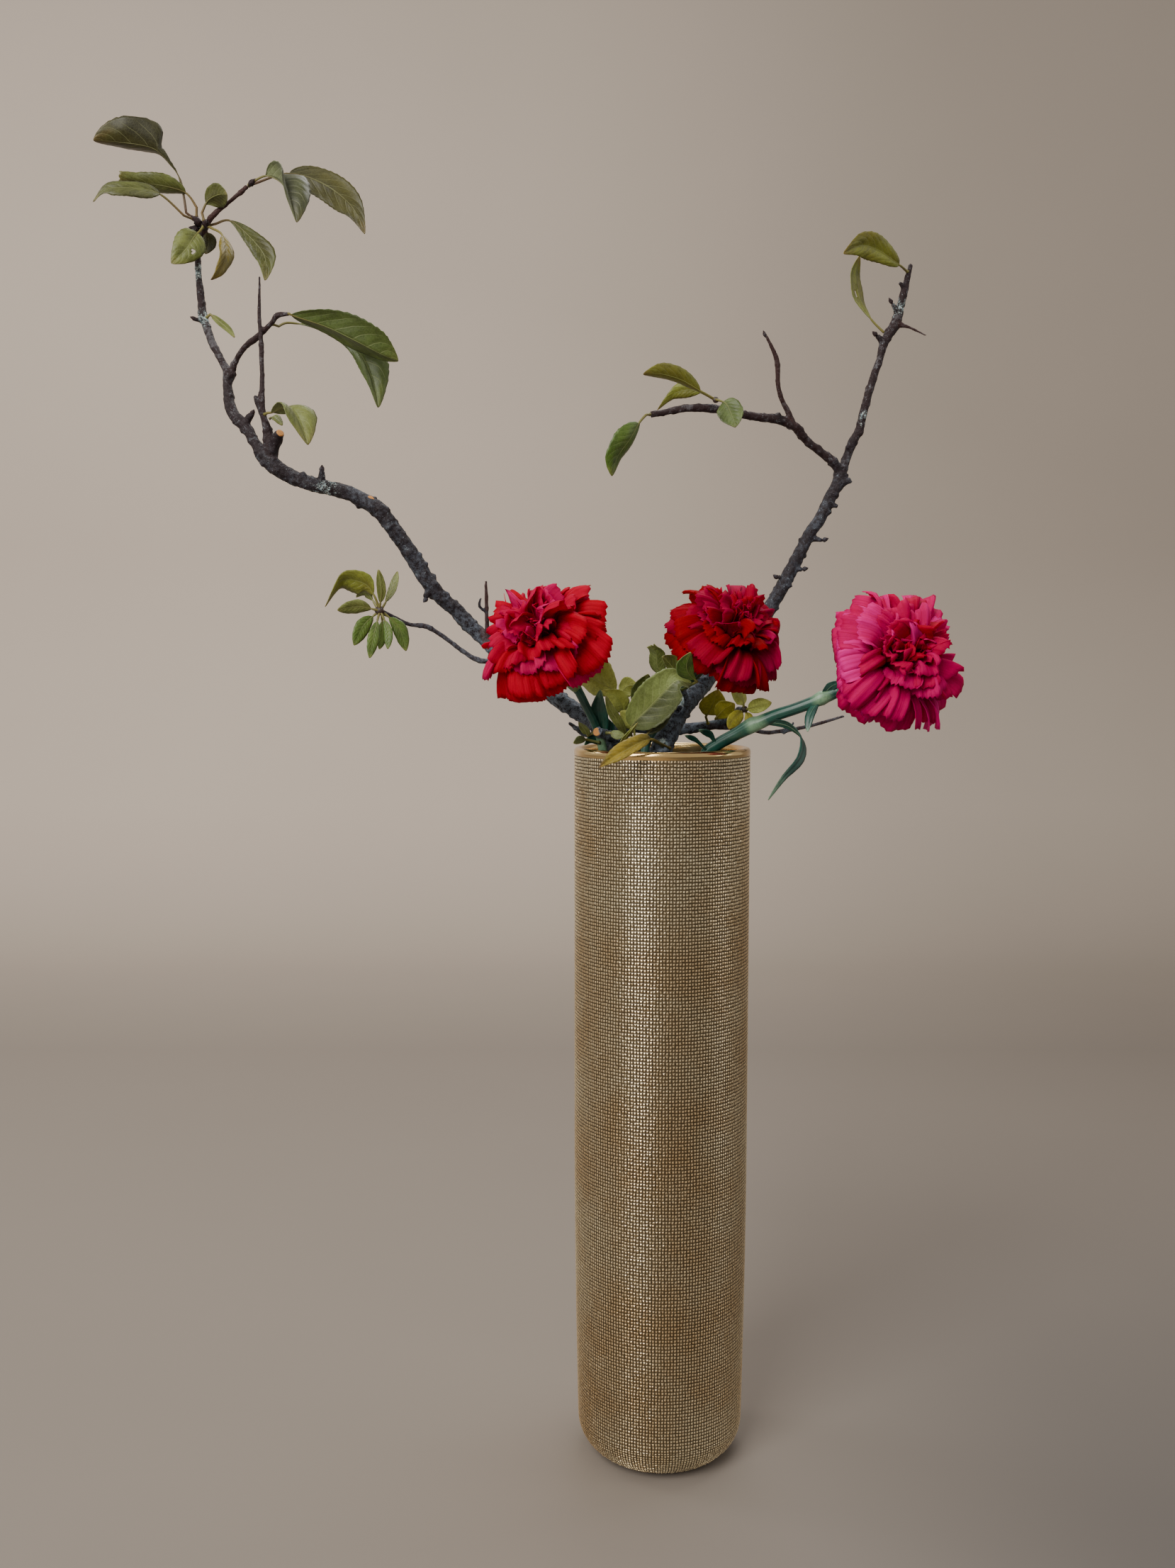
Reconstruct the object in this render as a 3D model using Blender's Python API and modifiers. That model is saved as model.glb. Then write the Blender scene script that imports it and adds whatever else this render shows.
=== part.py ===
"""Ikebana arrangement: a tall gold vase with two fruit-tree boughs and three carnations.

Lengths below are in millimetres. The origin is the middle of the vase's flat foot, +Z is up
and the arrangement's front faces -Y.
"""
import math

import bmesh
import bpy
from mathutils import Matrix, Vector

MM = 0.001
GAP = 0.3

VASE_HEIGHT = 420.0
VASE_RADIUS = 51.0
VASE_WALL = 4.5
VASE_FLOOR = 8.0
VASE_TAPER = 0.05
VASE_TAPER_HEIGHT = 170.0
VASE_FOOT_ROUND = 20.5
VASE_SEGMENTS = 36

WATER_LEVEL = 340.0
WATER_SEGMENTS = 24

BLADE_THICKNESS = 0.8
STALK_HALF_WIDTH = 0.7
TIP_HALF_WIDTH = 0.35
# Shares of a blade's own width.
LEAF_TOOTH = 0.05
LEAF_ARCH = 0.12

# Wood: each branch is a list of points (x, y, z, diameter).
LEFT_BOUGH = {
    "trunk": [(36, 18, 266, 9.6), (-28, 6, 420, 10.4), (-39, 8, 434, 10.2), (-46, 12, 438, 10),
              (-60, 18, 447, 10), (-81, 22, 462, 9.6), (-96, 22, 475, 9.4), (-109, 21, 487, 8.8),
              (-116, 19, 494, 9.2), (-121, 16, 500, 8.6), (-129, 12, 507, 8.8), (-134, 9, 513, 9.2),
              (-145, 4, 531, 9.2), (-150, 1, 539, 8.8), (-162, -4, 555, 9.4), (-170, -5, 560, 8.8),
              (-179, -7, 564, 8.2), (-200, -12, 569, 8.2), (-211, -13, 573, 8.2),
              (-217, -14, 577, 8.8), (-223, -14, 582, 8.2), (-227, -12, 588, 6.8),
              (-231, -10, 593, 6), (-234, -8, 599, 6.2), (-239, -5, 604, 7), (-243, -3, 608, 6.6),
              (-246, 0, 614, 6.2), (-247, 2, 619, 6.4), (-248, 4, 626, 5), (-247, 5, 633, 7.4)],
    "leader": [(-247, 4, 632, 5), (-254, 8, 644, 4.2), (-258, 11, 651, 4.6), (-264, 15, 667, 5),
               (-265, 16, 675, 4.6), (-267, 18, 693, 3.6), (-267, 19, 704, 3.4),
               (-266, 20, 713, 3.8), (-264, 20, 718, 6)],
    "red_twig": [(-264, 20, 716, 4), (-258, 17, 723, 3), (-246, 16, 732, 2.4), (-237, 15, 739, 2.6)],
    "fork_twig": [(-246, 5, 633, 4.6), (-242, 2, 640, 3.2), (-236, -2, 646, 3.2), (-230, -6, 649, 3.8),
                  (-225, -9, 652, 3), (-218, -13, 657, 2.8), (-215, -15, 660, 3.2),
                  (-208, -18, 660, 2.2)],
    "upright_twig": [(-220, -13, 580, 7), (-220, -15, 588, 8), (-221, -16, 596, 5.4),
                     (-223, -17, 604, 4), (-224, -17, 612, 3.6), (-224, -15, 625, 2.7),
                     (-225, -12, 648, 2.6), (-226, -10, 661, 2.2), (-226, -8, 683, 1.3)],
    "upright_bud": [(-224, -17, 606, 3.4), (-226, -17, 612, 3.8), (-228, -17, 616, 1.8)],
    "cut_knob": [(-219, -15, 587, 7), (-216, -18, 592, 6.6), (-213, -22, 595, 5)],
    "dark_spur": [(-237, -6, 601, 5), (-233, -8, 606, 3.8), (-231, -9, 608, 2.4)],
    "crown_spur_1": [(-264, 20, 717, 5), (-267, 16.5, 720.5, 4.4)],
    "crown_spur_2": [(-264, 20, 717, 5), (-262, 15.5, 718, 4.4)],
    "knob_spur": [(-193, -11, 567, 5), (-192, -13, 573, 4), (-192, -14, 576, 2.6)],
    "cut_stub": [(-167, -3, 559, 6), (-166, -8, 560, 5.6)],
    "swelling_spur": [(-132, 11, 511, 7), (-135, 8, 509, 5.4), (-137, 6, 506, 3)],
    "side_bud": [(-264, 14, 664, 3.6), (-268, 11, 664, 2)],
    "brown_twig": [(-102, 21, 481, 4), (-102, 16, 490, 2.8), (-102, 13, 497, 2.4),
                   (-102, 11, 506, 2.2), (-102, 9, 516, 1.4)],
    "brown_spur": [(-102, 13, 498, 2), (-106, 10, 501, 2), (-105, 9, 506, 1.4)],
    "long_twig": [(-87, 20, 467, 4), (-96, 14, 469, 3), (-107, 8, 470, 3.2), (-115, 4, 475, 2.6),
                  (-128, -4, 485, 2.6), (-135, -9, 489, 3), (-144, -14, 490, 2.4),
                  (-152, -21, 494, 2.4), (-156.5, -27, 496, 3)],
    "mouth_twig": [(-38, 7, 426, 4), (-46, 5, 427, 2.6), (-49, 2, 430, 2.8), (-54, -2, 434, 2)],
    "low_arm": [(-33, 8, 424, 7), (-28, 15, 430, 7.4), (-20, 21, 431, 7.6), (-10, 24, 430, 7),
                (6, 24, 429, 7), (20, 22, 430, 6.4), (32, 20, 432, 6), (40, 13, 436, 5),
                (44, 5, 440, 4.2), (46.2, -5.4, 442, 3.2)],
    "thin_twig": [(30, 20, 431, 4), (50, 10, 430, 2.6), (60, 6, 428, 2.4), (70, 4, 429, 2.6),
                  (85, 0, 432, 2.2), (104, -6, 438, 1.6)],
    "twig_bud": [(70, 4, 428, 3), (74, 2, 431, 2), (76, 0, 434, 1.4)],
    "cut_branch": [(-28, 2, 417, 7), (-27, -4, 422, 6.2), (-28.4, -11, 425.5, 5.6),
                   (-34, -20, 428.5, 5.6), (-38, -27, 430, 5.4)],
    "cut_shoot": [(-27, 3, 418, 6), (-24, -10, 424, 5), (-26, -18, 427, 4.6)],
    "inner_spur": [(-27, 6, 416, 6), (-22, -4, 420, 5), (-18, -11, 422, 4), (-18.5, -16, 423.5, 3.6)],
    "leafy_spur": [(-22, 20, 431, 5), (-21, 8, 437, 4), (-20.5, -8.5, 443.6, 5)],
}

RIGHT_BOUGH = {
    "trunk": [(-31, -22, 285, 12), (-1, -17, 420, 12.8), (7, -9, 437, 12.6), (14, 0, 447, 12.4),
              (21, 9, 454, 12.2), (37, 20, 472, 11.4), (51, 24, 486, 10), (64, 25, 500, 8.8),
              (70, 25, 510, 8.2), (75, 25, 519, 8.4), (81, 25, 531, 7.4), (89, 26, 546, 7),
              (95, 27, 555, 7), (101, 29, 567, 7.2), (105, 31, 574, 7.6), (107, 32, 580, 9.4)],
    "right_arm": [(107, 32, 579, 6), (110, 31, 590, 5.2), (113, 30, 598, 5.8), (117, 30, 606, 5),
                  (119, 30, 615, 4.8), (126, 34, 638, 4.6), (129, 35, 646, 4.4), (132, 36, 657, 5.4),
                  (139, 38, 669, 6), (142, 38, 681, 4.6), (145, 38, 693, 4), (147, 38, 702, 2.6)],
    "left_arm": [(106, 31, 581, 5), (100, 28, 587, 5.6), (92, 24, 592, 4.8), (83, 18, 598, 4.8),
                 (76, 12, 604, 5.6), (65, 6, 607, 5.6), (56, 0, 607, 4.8), (44, -5, 608, 4.4),
                 (25, -12, 610, 4.8), (10, -17, 609, 4.2), (-2, -21, 606, 3.6), (-8, -23, 605, 3.8)],
    "arm_twig": [(76, 12, 603, 4.4), (72, 8, 611, 3.4), (68, 5, 617, 2.8), (65, 2, 625, 2.6),
                 (64, 0, 638, 3), (60, -2, 647, 2.2), (57, -3, 652, 1.6)],
    "thorn": [(139, 38, 668, 4), (147, 36, 665, 1.6), (156, 34, 660, 1.1)],
    "spur_1": [(74, 25, 516, 5), (69, 22, 519, 2.4)],
    "spur_2": [(70, 25, 511, 5), (77, 22, 514, 2.4)],
    "spur_3": [(77, 25, 524, 5), (83, 22, 523, 2.4)],
    "spur_4": [(88, 26, 542, 5), (95, 24, 540, 2.4)],
    "spur_5": [(98, 28, 562, 5), (104, 26, 560, 2.4)],
    "spur_6": [(106, 31, 580, 5), (102, 28, 585, 2.8)],
    "spur_7": [(113, 30, 598, 4), (109, 28, 594, 2.4)],
    "spur_8": [(104, 30, 573, 6), (112, 28, 576, 3)],
    "spur_9": [(67, 7, 606, 5), (65, 4, 610, 3)],
    "spur_10": [(140, 38, 674, 4), (136, 36, 679, 2.2)],
    "spur_11": [(144, 38, 688, 4), (140, 36, 691, 2)],
    "spur_12": [(132, 36, 656, 5), (127, 34, 660, 3)],
    "spur_13": [(26, -12, 610, 4), (27, -13.8, 611.6, 2.4)],
    "mouth_shoot": [(7, -9, 436, 6), (10.5, -16, 440, 3.4), (12.5, -23, 446, 3), (11, -28, 451, 3),
                    (9, -30, 453.5, 4)],
}


def blade(route, side_a, side_b, stalk=0.25, widest=0.45, torn=0.0, bites=(), fine=False,
          colour="green", foot=None):
    """A leaf: the route of its midrib from the stalk's root to the tip, and how far each margin
    stands off the midrib where the blade is widest. A bite is (side, start, end, what is left).
    The foot is where a longer stalk starts, beside the wood."""
    return {"route": route, "foot": foot, "sides": (side_a, side_b), "stalk": stalk, "widest": widest,
            "torn": torn, "bites": bites, "fine": fine, "colour": colour}


LEAVES = {
    "leaf_crown_bitten": blade([(-272, 14, 724), (-274, 12, 740), (-278, 8, 748), (-287, 4, 756),
                                (-305, 0, 758), (-317, -6, 757)], (1, -3, 14), (0, 9, 0),
                               widest=0.62, bites=[(0, 0.0, 0.42, 0.3), (1, 0.1, 0.2, 0.3)],
                               colour="dark", fine=True, foot=(-269.5, 15.2, 722.3)),
    "leaf_crown_torn": blade([(-266, 14, 727), (-271, 11, 734), (-281, 6, 736), (-293, 3, 737),
                              (-306, -2, 737)], (0, -2, 6), (0, 6, -2), torn=0.7, fine=True,
                             foot=(-266.5, 15.3, 723.5)),
    "leaf_crown_low": blade([(-272, 9, 721), (-281, 2, 729), (-288, -3, 731), (-299, -10, 730),
                             (-309, -13, 728), (-315, -16, 720)], (0, 2, 4), (-1, -5, -6),
                            torn=0.35, fine=True, foot=(-268.8, 13.8, 720.7)),
    "leaf_crown_cup": blade([(-263, 14, 724), (-259, 12, 730), (-252, 8, 732), (-246, 4, 731)],
                            (0, -2, 6), (2, 4, -5), fine=True, foot=(-262.5, 14.7, 721.2)),
    "leaf_crown_arched": blade([(-233, 13, 741), (-225, 10, 743), (-216, 6, 738), (-211, 2, 729),
                                (-206, -2, 714)], (-6, -4, 16), (14, 5, 2), fine=True,
                               foot=(-235, 14, 740)),
    "leaf_crown_far": blade([(-233, 19, 742), (-215, 24, 749), (-196, 26, 744), (-180, 28, 732),
                             (-172, 26, 716)], (3, 3, 9), (-3, -4, -9), colour="dark", fine=True,
                            foot=(-235.5, 16.5, 740.1)),
    "leaf_crown_front": blade([(-264, 12, 713), (-266, 8, 709), (-270, 4, 701), (-277, 0, 692)],
                              (-6, -2, 5), (7, 3, -4), stalk=0.15, fine=True,
                              foot=(-263, 13.7, 715.4)),
    "leaf_crown_back": blade([(-264, 26, 718), (-263, 28, 712), (-265, 28, 705)],
                             (-4, 0, 0), (4, 0, 0), stalk=0.15, foot=(-264, 24.1, 718)),
    "leaf_crown_yellow": blade([(-257, 13, 715), (-251, 9, 711), (-248, 6, 704), (-247, 2, 696),
                                (-250, -2, 687), (-254, -4, 682)], (-2.5, -5, -1), (3, 4, 1),
                               colour="yellow", foot=(-259.4, 14.2, 716.4)),
    "leaf_crown_notched": blade([(-257, 21, 720), (-249, 22, 722), (-238, 22, 713), (-229, 20, 701),
                                 (-228, 16, 687)], (5, 2, 4), (-4, -4, -3), widest=0.6,
                                fine=True, foot=(-260.1, 20.6, 719.1)),
    "leaf_slender": blade([(-259, 12, 667), (-254, 10, 663), (-247, 6, 657), (-243, 2, 652)],
                          (1, -1, 1), (-1, -1, -1), stalk=0.1, foot=(-260.4, 12.8, 666.2)),
    "leaf_fork_upper": blade([(-208, -20.2, 660), (-203, -19, 658), (-188, -14, 654), (-172, -10, 647),
                              (-159, -6, 641), (-150, -2, 638)], (3, -4, 12), (-1, 9, -3),
                             stalk=0.12, widest=0.58, fine=True),
    "leaf_fork_lower": blade([(-216, -7, 656), (-210, -2, 659), (-191, 4, 656), (-175, 8, 646),
                              (-167, 9, 631), (-163, 8, 614)], (-3, -7, -2), (11, 3, 5), widest=0.55,
                             colour="dark", fine=True, foot=(-217.9, -10.2, 656.1)),
    "leaf_upright_folded": blade([(-220, -21, 606), (-216, -24, 606), (-208, -28, 608),
                                  (-202, -30, 602), (-196, -32, 587)], (-5, -7, 2), (12, 5, -2),
                                 stalk=0.2, widest=0.6, fine=True, foot=(-221.3, -19.4, 605.8)),
    "leaf_upright_small": blade([(-220.6, -14.6, 603.7), (-217, -15, 605), (-213, -16, 600)],
                                (-1, -2, -2), (1, 2, 1), stalk=0.2),
    "leaf_right_drooping": blade([(-11, -27, 604), (-15, -30, 599), (-20, -33, 590), (-27, -34, 580),
                                  (-30, -34, 570)], (-8, -5, 2), (3, 6, 1), fine=True,
                                 foot=(-9.8, -25.4, 604.4)),
    "leaf_right_tip": blade([(143, 35, 698), (138, 28, 699), (124, 20, 705), (113, 14, 706),
                             (102, 8, 700)], (0, -4, 7), (0, 2, -7), fine=True,
                            foot=(144, 36, 697.7)),
    "leaf_right_upright": blade([(131.2, 34.2, 661.8), (123, 34, 670), (116, 32, 681), (113, 30, 693),
                                 (115, 28, 704)], (-4, -4, 0), (4, 4, -1)),
    "leaf_mouth_behind": blade([(-21.8, -11.6, 444.8), (-27, -8, 452), (-36, -4, 457), (-44, 0, 462),
                                (-48, 2, 468)], (4, -3, 9), (-3, 5, -5), colour="pale", fine=True),
    "leaf_mouth_olive": blade([(-21.9, -8, 446.9), (-24, -2, 450), (-20, 3, 455), (-14, 6, 455)],
                              (0, 2, 5), (1, -2, -6), colour="yellow"),
    "leaf_mouth_low": blade([(-23, -12, 440), (-24, -16, 445), (-28, -20, 450), (-35, -24, 453)],
                            (4, -2, 3), (-4, -3, -4), stalk=0.1, colour="yellow",
                            foot=(-22.1, -10.7, 441.3)),
    "leaf_mouth_slender": blade([(-20.5, -16.8, 425.5), (-25, -26, 434), (-30, -30, 442), (-33, -34, 450)],
                                (-2, -1, -1), (2, -1, 1), stalk=0.1),
    "leaf_mouth_inner": blade([(-16.5, -15.1, 425.5), (-17, -17, 432), (-20, -19, 437), (-25, -22, 441)],
                              (1, -2, 5), (-1, -1, -5)),
    "leaf_mouth_large": blade([(-17, -21, 424), (-19, -29, 430), (-17, -34, 436), (-9, -38, 444),
                               (-1, -42, 453), (6, -44, 459), (14, -43, 456)],
                              (-8, -2, 8), (7, -6, -8), colour="pale", fine=True,
                              foot=(-17.7, -18.8, 423.8)),
    "leaf_mouth_tall": blade([(1, -26, 460), (-4, -28, 466), (-5, -32, 473), (-9, -36, 478)],
                             (-4, 2, 0), (4, -2, 2), stalk=0.1, torn=0.5, colour="pale",
                             foot=(5.9, -30.4, 454.2)),
    "leaf_mouth_dark": blade([(8.1, -28.2, 455.8), (7, -30, 461), (3, -32, 467), (-2, -36, 472)],
                             (-2, 0, -2), (5, 3, 4), stalk=0.1, colour="dark"),
    "leaf_mouth_bright": blade([(16.5, -45, 458.2), (12, -50, 462), (10, -54, 467), (12, -57, 474)],
                               (-6, -3, 1), (4, 3, 0), stalk=0.1, foot=(9.9, -32.9, 454)),
    "leaf_mouth_pale": blade([(-18.4, -10.6, 445.6), (-14, -14, 450), (-11, -16, 456), (-9, -20, 462)],
                             (-5, -2, 2), (4, 3, -2), stalk=0.1, colour="pale"),
    "leaf_rim_yellow": blade([(-3, -36, 424), (-8, -50, 427), (-14, -56, 426), (-24, -61, 421),
                              (-31, -64, 417), (-37, -67, 413)], (1, 1, 6), (-1, -4, -4),
                             colour="yellow", foot=(2.5, -24, 421)),
    "leaf_rim_upright": blade([(-25, -42, 424), (-23, -46, 427), (-20, -48, 431), (-16, -48, 436)],
                              (-3, 0, -2), (4, 1, 3), stalk=0.1, colour="yellow",
                              foot=(-19.7, -17.5, 421.3)),
    "leaf_bough_dark": blade([(-11, -35, 428), (-6, -35, 434), (-1, -34, 440), (7, -31, 448)],
                             (-2, -1, 2), (3, -1, -3), stalk=0.1, colour="dark",
                             foot=(-2, -24.4, 422.5)),
    "leaf_mouth_hidden": blade([(26, 11, 437), (28, 7, 441), (30, 3, 446), (32, 0, 453)],
                               (-6, 0, 0), (8, -3, 2), stalk=0.1, colour="yellow",
                               foot=(27.6, 17.1, 433.5)),
    "leaf_mouth_right": blade([(31, 4, 436), (34, 0, 440), (37, -3, 443), (41, -7, 445)],
                              (-3, -2, 4), (3, 2, -5), stalk=0.1, colour="yellow",
                              foot=(38.3, 8.6, 436.9)),
    "leaf_pale_left": blade([(-43, -13, 427), (-45, -16, 431), (-48, -20, 435)],
                            (-3, -1, 1), (3, 0, -1), stalk=0.1, colour="pale",
                            foot=(-41.1, -12.5, 428)),
    "leaf_rim_sliver": blade([(-44, -15, 425), (-48, -22, 425), (-51, -30, 424)],
                             (0, 0, 2), (0, 0, -1.5), stalk=0.1, colour="pale",
                             foot=(-37.8, -12.2, 423.5)),
    "leaf_rim_pale": blade([(-31, -39, 430), (-27, -40, 429), (-23, -40, 429)],
                           (0, 0, 2), (0, -1, -2), stalk=0.1, colour="pale",
                           foot=(-32.4, -24.6, 429.2)),
}

# Sprays: small leaves that share one bud.
SPRAYS = {
    "spray_left": {
        "bud": ((-158, -31, 497), 2.6), "colour": "green",
        "leaves": [
            blade([(-158, -31, 498), (-161, -33, 506), (-166, -34, 512), (-178, -36, 513),
                   (-186, -42, 499)], (2, -3, 5), (-2, 4, -6)),
            blade([(-159, -31, 498), (-166, -27, 508), (-172, -24, 505)], (1, -2, 3), (-1, 2, -3)),
            blade([(-158, -32, 497), (-168, -38, 499), (-179, -44, 497)], (0, -1, 3.5), (0, 2, -3)),
            blade([(-158, -31, 497), (-166, -36, 489), (-171, -40, 478)], (-2, -1, 2), (2, 1, -2)),
            blade([(-158, -32, 496), (-160, -39, 484), (-162, -43, 471)], (-2, -1, 0), (2, 1, 0)),
            blade([(-157, -30, 496), (-157, -28, 485), (-159, -26, 476)], (-1.5, 0, 0), (1.5, 0, 0)),
            blade([(-157, -32, 496), (-153, -34, 486), (-153, -36, 476)], (-1.5, 0, 0), (1.5, 0, 0)),
            blade([(-157, -31, 497), (-148, -28, 488), (-144, -28, 475)], (-2, -1, -1), (2, 1, 1)),
            blade([(-158, -32, 498), (-156, -37, 507), (-157, -40, 519)], (-2, 0, 0), (2, 1, 0)),
            blade([(-157, -30, 498), (-152, -26, 508), (-149, -23, 519)], (-2, 0, 0), (2, -1, 0)),
        ]},
    "spray_arm": {
        "bud": ((28, -16, 614), 1.8), "colour": "green",
        "leaves": [
            blade([(28, -16, 614), (19, -21, 618), (8, -26, 623), (-4, -32, 625), (-13, -36, 624)],
                  (0, -2, 6), (0, 5, -1)),
            blade([(28, -15, 614), (17, -11, 620), (6, -8, 619), (-4, -8, 610)], (2, -1, 5),
                  (-2, 2, -4)),
            blade([(28, -17, 614), (33, -22, 611), (36, -26, 604), (38, -29, 597)], (5, 1, 6),
                  (-6, -2, -4)),
        ]},
    "spray_mouth": {
        "bud": ((46.5, -9.5, 442), 1.9), "colour": "yellow",
        "leaves": [
            blade([(46, -9, 442), (43, -10, 439), (39, -12, 435), (37, -13, 431)], (-3, -2, 2),
                  (4, 2, -2), stalk=0.15),
            blade([(46, -10, 443), (45, -12, 447), (42, -14, 450), (38, -18, 454)], (-3, -2, -2),
                  (3, 2, 2), stalk=0.15),
            blade([(47, -10, 442), (50, -15, 443), (55, -19, 445), (60, -23, 446)], (0, -2, 4),
                  (0, 2, -4), stalk=0.15),
            blade([(47, -9, 441), (49, -9, 437), (47, -10, 431)], (-2, 0, 0), (2, 0, 0),
                  stalk=0.15),
        ]},
}

# Carnations: stem points (x, y, z, diameter), then strap leaves that grow from it.
CARNATIONS = {
    "red": {
        "stem": [(-6, -6, 70, 5.6), (-32, -7, 405, 5.8), (-35, -8, 422, 6.6), (-36, -9, 425, 5.8),
                 (-39, -14, 434, 5.8), (-44, -18, 444, 5.8), (-48, -20, 452, 6)],
        "straps": [
            blade([(-35, -8, 423), (-36, -12, 434), (-37, -15, 443), (-36, -17, 453)],
                  (-3, -1, 0), (3, -1, 0), stalk=0.05),
            blade([(-35, -8, 423), (-30, -7, 430), (-32, -10, 437)], (-2, -1, 0), (2, 0, 0),
                  stalk=0.05),
            blade([(-35, -8, 422), (-41, -10, 425), (-45, -13, 422)], (0, -1, 2), (0, 1, -2),
                  stalk=0.05)],
        "bloom": {"radius": 36, "axis": (-0.5, -0.4, 0.77), "seed": 1},
    },
    "crimson": {
        "stem": [(-8, -36, 90, 5.4), (-11, -28, 420, 5.6), (-5, -25, 433, 5.6), (3, -21, 446, 5.6),
                 (10, -16, 454, 5.8), (14, -14, 458, 6)],
        "straps": [
            blade([(14, -15.6, 458.4), (11, -13, 466), (9, -12, 472)], (-2, 0, 0), (2, 0, 0),
                  stalk=0.05)],
        "bloom": {"radius": 32.5, "axis": (0.5, -0.25, 0.8), "seed": 2},
    },
    "magenta": {
        "stem": [(14, -6, 75, 5.8), (24, -14, 416, 6), (30, -16, 422, 6.2), (40, -20, 428, 6.4),
                 (50, -24, 434, 8), (53, -25, 435, 7), (61, -28, 439, 6), (72, -32, 443, 5.8),
                 (82, -35, 447, 6), (86, -36, 449, 7.4), (89, -36, 450, 6), (95, -36, 453, 6)],
        "straps": [
            blade([(51, -24, 434), (60, -28, 435), (69, -34, 433), (75, -40, 426), (73, -46, 416),
                   (63, -53, 406), (54, -60, 395)], (0, -2, 2.5), (0, 2, -2), stalk=0.03),
            blade([(30, -16, 421), (26, -22, 428), (19, -28, 431)], (0, -2, 2), (0, 2, -2),
                  stalk=0.05),
            blade([(26, -15, 417), (18, -24, 425), (11, -30, 428)], (-1, -2, 2), (1, 2, -2),
                  stalk=0.05),
            blade([(84, -36, 447), (79, -41, 440), (77, -45, 431)], (-2, 1, 0), (2, -1, 0),
                  stalk=0.05),
            blade([(86, -36, 449), (90, -39, 455), (96, -42, 458)], (-1, -1, 2), (1, 1, -2),
                  stalk=0.05)],
        "bloom": {"radius": 38.5, "axis": (0.78, -0.42, 0.45), "seed": 3},
    },
}
# Rings of a bloom from the heart outwards: petals, angle off the axis, reach, half-width.
BLOOM_RINGS = [(3, 16, 0.82, 0.3), (5, 42, 0.92, 0.38), (6, 68, 0.97, 0.42), (6, 96, 1.0, 0.46)]
# Shares of a bloom's radius: where its heart's centre stands, the heart's radius, where a petal
# bends, and the depth of a petal's teeth, round edge and waves.
BLOOM_CENTRE = 0.42
BLOOM_CORE = 0.5
PETAL_BEND = 0.62
PETAL_TOOTH = 0.05
PETAL_ROUND_EDGE = 0.22
PETAL_WAVE = 0.045
PETAL_ROWS = (0.2, 0.65, 1.0)
PETAL_FAN = 1.4
# A calyx on top of each stem, along its bloom's axis: height above the stem, diameter.
CALYX = [(3, 8.6), (8, 11.6), (13, 12.8), (16, 12.4)]

COLOURS = {
    "gold": (0.76, 0.58, 0.27), "water": (0.75, 0.85, 0.85), "bark": (0.07, 0.05, 0.06),
    "green": (0.13, 0.2, 0.04), "dark": (0.07, 0.11, 0.03), "pale": (0.3, 0.38, 0.16),
    "yellow": (0.36, 0.33, 0.05), "stem": (0.02, 0.22, 0.12),
    "red": (0.6, 0.0, 0.03), "crimson": (0.4, 0.0, 0.02), "magenta": (0.65, 0.01, 0.12),
}


def make_material(name, colour, roughness=0.6, metallic=0.0):
    material = bpy.data.materials.new(name)
    material.use_nodes = True
    shader = material.node_tree.nodes["Principled BSDF"]
    shader.inputs["Base Color"].default_value = (*COLOURS[colour], 1.0)
    shader.inputs["Roughness"].default_value = roughness
    shader.inputs["Metallic"].default_value = metallic
    return material


def add_object(name, mesh, collection):
    made = bpy.data.objects.new(name, mesh)
    collection.objects.link(made)
    return made


def baked(source, name, collection):
    """The source with its modifiers applied, as a new mesh object; the source goes."""
    depsgraph = bpy.context.evaluated_depsgraph_get()
    mesh = bpy.data.meshes.new_from_object(source.evaluated_get(depsgraph))
    made = add_object(name, mesh, collection)
    made.matrix_world = source.matrix_world.copy()
    bpy.data.objects.remove(source)
    return made


def tidy_mesh(made):
    work = bmesh.new()
    work.from_mesh(made.data)
    bmesh.ops.remove_doubles(work, verts=work.verts, dist=0.00001)
    bmesh.ops.recalc_face_normals(work, faces=work.faces)
    work.to_mesh(made.data)
    work.free()


def finish(made, material):
    made.data.materials.clear()
    made.data.materials.append(material)
    made.data.shade_smooth()
    made.data.set_sharp_from_angle(angle=math.radians(40))


def tube(name, points, collection, resolution=2):
    """A closed round tube through points (x, y, z, diameter)."""
    curve = bpy.data.curves.new(name, "CURVE")
    curve.dimensions = "3D"
    curve.bevel_depth = MM
    curve.bevel_resolution = resolution
    curve.use_fill_caps = True
    spline = curve.splines.new("POLY")
    spline.points.add(len(points) - 1)
    for point, (x, y, z, diameter) in zip(spline.points, points):
        point.co = (x * MM, y * MM, z * MM, 1.0)
        point.radius = diameter / 2
    made = baked(add_object(name + "_curve", curve, collection), name, collection)
    tidy_mesh(made)
    return made


def ball(name, centre, radius, collection, segments=10, rings=6):
    work = bmesh.new()
    place = Matrix.Translation(Vector(centre) * MM)
    bmesh.ops.create_uvsphere(work, u_segments=segments, v_segments=rings, radius=radius * MM,
                              matrix=place)
    mesh = bpy.data.meshes.new(name)
    work.to_mesh(mesh)
    work.free()
    return add_object(name, mesh, collection)


def fuse(name, pieces, collection):
    """One body from pieces that overlap."""
    base = pieces[0]
    group = bpy.data.collections.new(name + "_pieces")
    bpy.context.scene.collection.children.link(group)
    for piece in pieces[1:]:
        collection.objects.unlink(piece)
        group.objects.link(piece)
    join = base.modifiers.new("join", "BOOLEAN")
    join.operation = "UNION"
    join.operand_type = "COLLECTION"
    join.collection = group
    join.solver = "EXACT"
    made = baked(base, name, collection)
    made.name = name
    for piece in list(group.objects):
        bpy.data.objects.remove(piece)
    bpy.data.collections.remove(group)
    tidy_mesh(made)
    return made


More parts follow.
